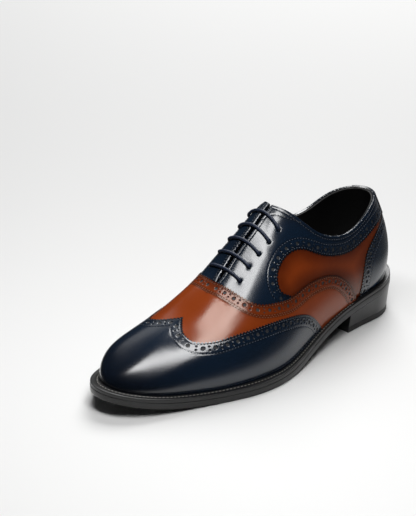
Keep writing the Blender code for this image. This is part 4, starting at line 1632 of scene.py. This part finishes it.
def build_welt():
    """Welt with a groove for its stitches, which ends before the heel."""
    wide, narrow = WELT_GROOVE_HALF

    def groove(deep):
        return lambda x: sole_bottom(x) + WELT_HIGH - deep * smooth(x, *WELT_STITCHES)

    section = low_corner(above_sole, WELT_LOW, WELT_SET_BACK, LAID_CORNER)
    section += high_corner(above_sole, WELT_HIGH, WELT_SET_BACK, WELT_CORNER)
    for aside, deep in ((-wide, 0), (-narrow, WELT_GROOVE_DEEP), (narrow, WELT_GROOVE_DEEP), (wide, 0)):
        section.append((groove(deep), beside_stitches(aside)))
    for height in (WELT_HIGH, WELT_LOW):
        section.append((above_sole(height), inside_ledge(WELT_UNDER_UPPER)))
    belongs(band("welt_leather", SOLE_TURNS, section, SOLE), "welt")


def build_insole():
    inside = inside_ledge(WELT_UNDER_UPPER + GAP)
    bed = [(above_sole(WELT_LOW), inside), (above_sole(WELT_LOW + INSOLE), inside)]
    belongs(slab("insole_leather", SOLE_TURNS, bed, BLACK), "insole")


def tack_path(x):
    """Stitch path over the slit at a station, from the inner to the outer side."""
    points, outward = [], []
    for across in np.linspace(-TACK_HALF, TACK_HALF, TACK_POINTS):
        points.append(on_facing(x, across, FACING[0] + TACK_RAISED))
        outward.append(facing_out(*across_slit(x, across))[0])
    return np.array(points), np.array(outward)


def build_seam_stitches(tree):
    sunk = THREAD_RAISED - STITCH_DIP
    facing_face = FACING[0] + sunk
    navy, brown = [], []
    for side in SIDES:
        for row in (OUTER_ROW, INNER_ROW):
            navy.append(row_path(wing_line(side), row, WING[0] + sunk))
            navy.append(row_path(counter_line(side), row, COUNTER[0] + sunk))
            navy.append(row_path(window_line(side), row, facing_face, *WINDOW_ROW_ENDS))
        for row in (OUTER_ROW, INNER_ROW, SECOND_ROW):
            brown.append(row_path(vamp_line(side), row, VAMP[0] + sunk))
        navy.append(row_path(rim_line(side, STRIP_EDGE), COLLAR_ROW, facing_face))
        navy.append(row_path(rim_line(side, TOPLINE_END), SLIT_ROW, FACING[0] - SLIT_THREAD_SUNK))
        navy.append(row_path(seam_line(side), 0.0, facing_face))
    navy += [tack_path(x) for x in TACK]
    navy_rows = sew("navy_stitches", navy, THREAD_PITCH, THREAD_SIZE, NAVY_THREAD, tree)
    belongs(navy_rows, None)
    brown_rows = sew("brown_stitches", brown, THREAD_PITCH, THREAD_SIZE, BROWN_THREAD, tree)
    belongs(brown_rows, None)


def build_welt_stitches(tree):
    paths = []
    for side in SIDES:
        u = np.linspace(turn_of(WELT_STITCHES[1], 0, LENGTH), 1, WELT_POINTS)
        flat = plan(u, side, beside_stitches(0.0)(u))
        height = sole_bottom(flat[:, 0]) + WELT_HIGH - WELT_GROOVE_DEEP + WELT_THREAD_RAISED
        points = np.concatenate([flat, height[:, None]], 1)
        paths.append((points, np.tile((0.0, 0.0, 1.0), (len(u), 1))))
    rows = sew("welt_stitches", paths, WELT_THREAD_PITCH, WELT_THREAD_SIZE, WELT_THREAD, tree)
    belongs(rows, None)


def aim(thing, target):
    """Turn a lamp or camera towards a point."""
    thing.rotation_euler = (Vector(target) - thing.location).to_track_quat("-Z", "Y").to_euler()


def add_lamp(name, place, target, width, height, power):
    """Soft box that faces a point."""
    data = bpy.data.lights.new(name, "AREA")
    data.shape = "RECTANGLE"
    data.size = width
    data.size_y = height
    data.energy = power
    made = put(name, data)
    made.location = place
    aim(made, target)
    return made


# Floor: its colour, and the dark surroundings that mirror rays of this length see instead
PALE = (0.80, 0.80, 0.795, 1.0)
UNLIT = (0.06, 0.06, 0.06, 1.0)
MIRROR_REACH = (0.05, 0.16)
FLOOR_REACH = 6.0

# Soft boxes: place, target, width, height and power
LAMPS = {
    "strip_overhead": ((0.155, 0.13, 0.62), (0.155, 0.13, 0.0), 0.1, 0.7, 2.4),
    "instep_box": ((0.035, 0.16, 0.62), (0.035, 0.16, 0.0), 0.12, 0.2, 0.75),
    "back_light": ((-1.3, -1.0, 1.7), (-0.5, -0.45, 0.0), 1.4, 1.4, 48.0),
    "inner_panel": ((-0.15, -0.85, 0.68), (0.1, 0.0, 0.05), 0.3, 0.22, 0.15),
}
STRIP_TURN = 6.0
AIR = (0.9, 0.95, 1.0, 1.0)
AIR_STRENGTH = 0.02

# Camera, as its direction from the shoe in degrees and its distance in metres
CAMERA_AZIMUTH = 42.8
CAMERA_ELEVATION = 26.5
CAMERA_AWAY = 1.416
CAMERA_TARGET = (0.0, -SHIFT[1] * MM, 0.045)
CAMERA_LENS = 125.0
CAMERA_SENSOR = 36.0
CAMERA_SHIFT = (-0.0756, 0.0795)


def build_floor():
    paper, tree, shader = blank("pale_floor")
    shader.inputs["Roughness"].default_value = 0.7
    ray = add(tree, "ShaderNodeLightPath").outputs
    far = eased(tree, ray["Ray Length"], MIRROR_REACH, (0.0, ray["Is Glossy Ray"]))
    tree.links.new(mixed(tree, far, PALE, UNLIT), shader.inputs["Base Color"])
    mesh = bpy.data.meshes.new("floor")
    corners = [(x * FLOOR_REACH, y * FLOOR_REACH, 0) for x, y in ((-1, -1), (1, -1), (1, 1), (-1, 1))]
    mesh.from_pydata(corners, [], [(0, 1, 2, 3)])
    mesh.materials.append(paper)
    put("floor", mesh)


def build_lights():
    world = bpy.data.worlds.new("studio")
    world.use_nodes = True
    air = world.node_tree.nodes["Background"].inputs
    air["Color"].default_value = AIR
    air["Strength"].default_value = AIR_STRENGTH
    bpy.context.scene.world = world
    lamps = {name: add_lamp(name, *values) for name, values in LAMPS.items()}
    lamps["strip_overhead"].rotation_euler[2] = math.radians(STRIP_TURN)


def build_camera():
    camera = put("camera", bpy.data.cameras.new("camera"))
    azimuth = math.radians(CAMERA_AZIMUTH)
    elevation = math.radians(CAMERA_ELEVATION)
    level = math.cos(elevation)
    away = Vector((math.sin(azimuth) * level, math.cos(azimuth) * level, math.sin(elevation)))
    camera.location = Vector(CAMERA_TARGET) + CAMERA_AWAY * away
    aim(camera, CAMERA_TARGET)
    camera.data.lens = CAMERA_LENS
    camera.data.sensor_width = CAMERA_SENSOR
    camera.data.shift_x, camera.data.shift_y = CAMERA_SHIFT
    bpy.context.scene.camera = camera
    bpy.context.scene.view_settings.view_transform = "Standard"


build_outsole()
build_heel()
build_welt()
build_insole()
build_upper()
stitches = stitch_tree()
build_seam_stitches(stitches)
build_welt_stitches(stitches)
build_floor()
build_lights()
build_camera()
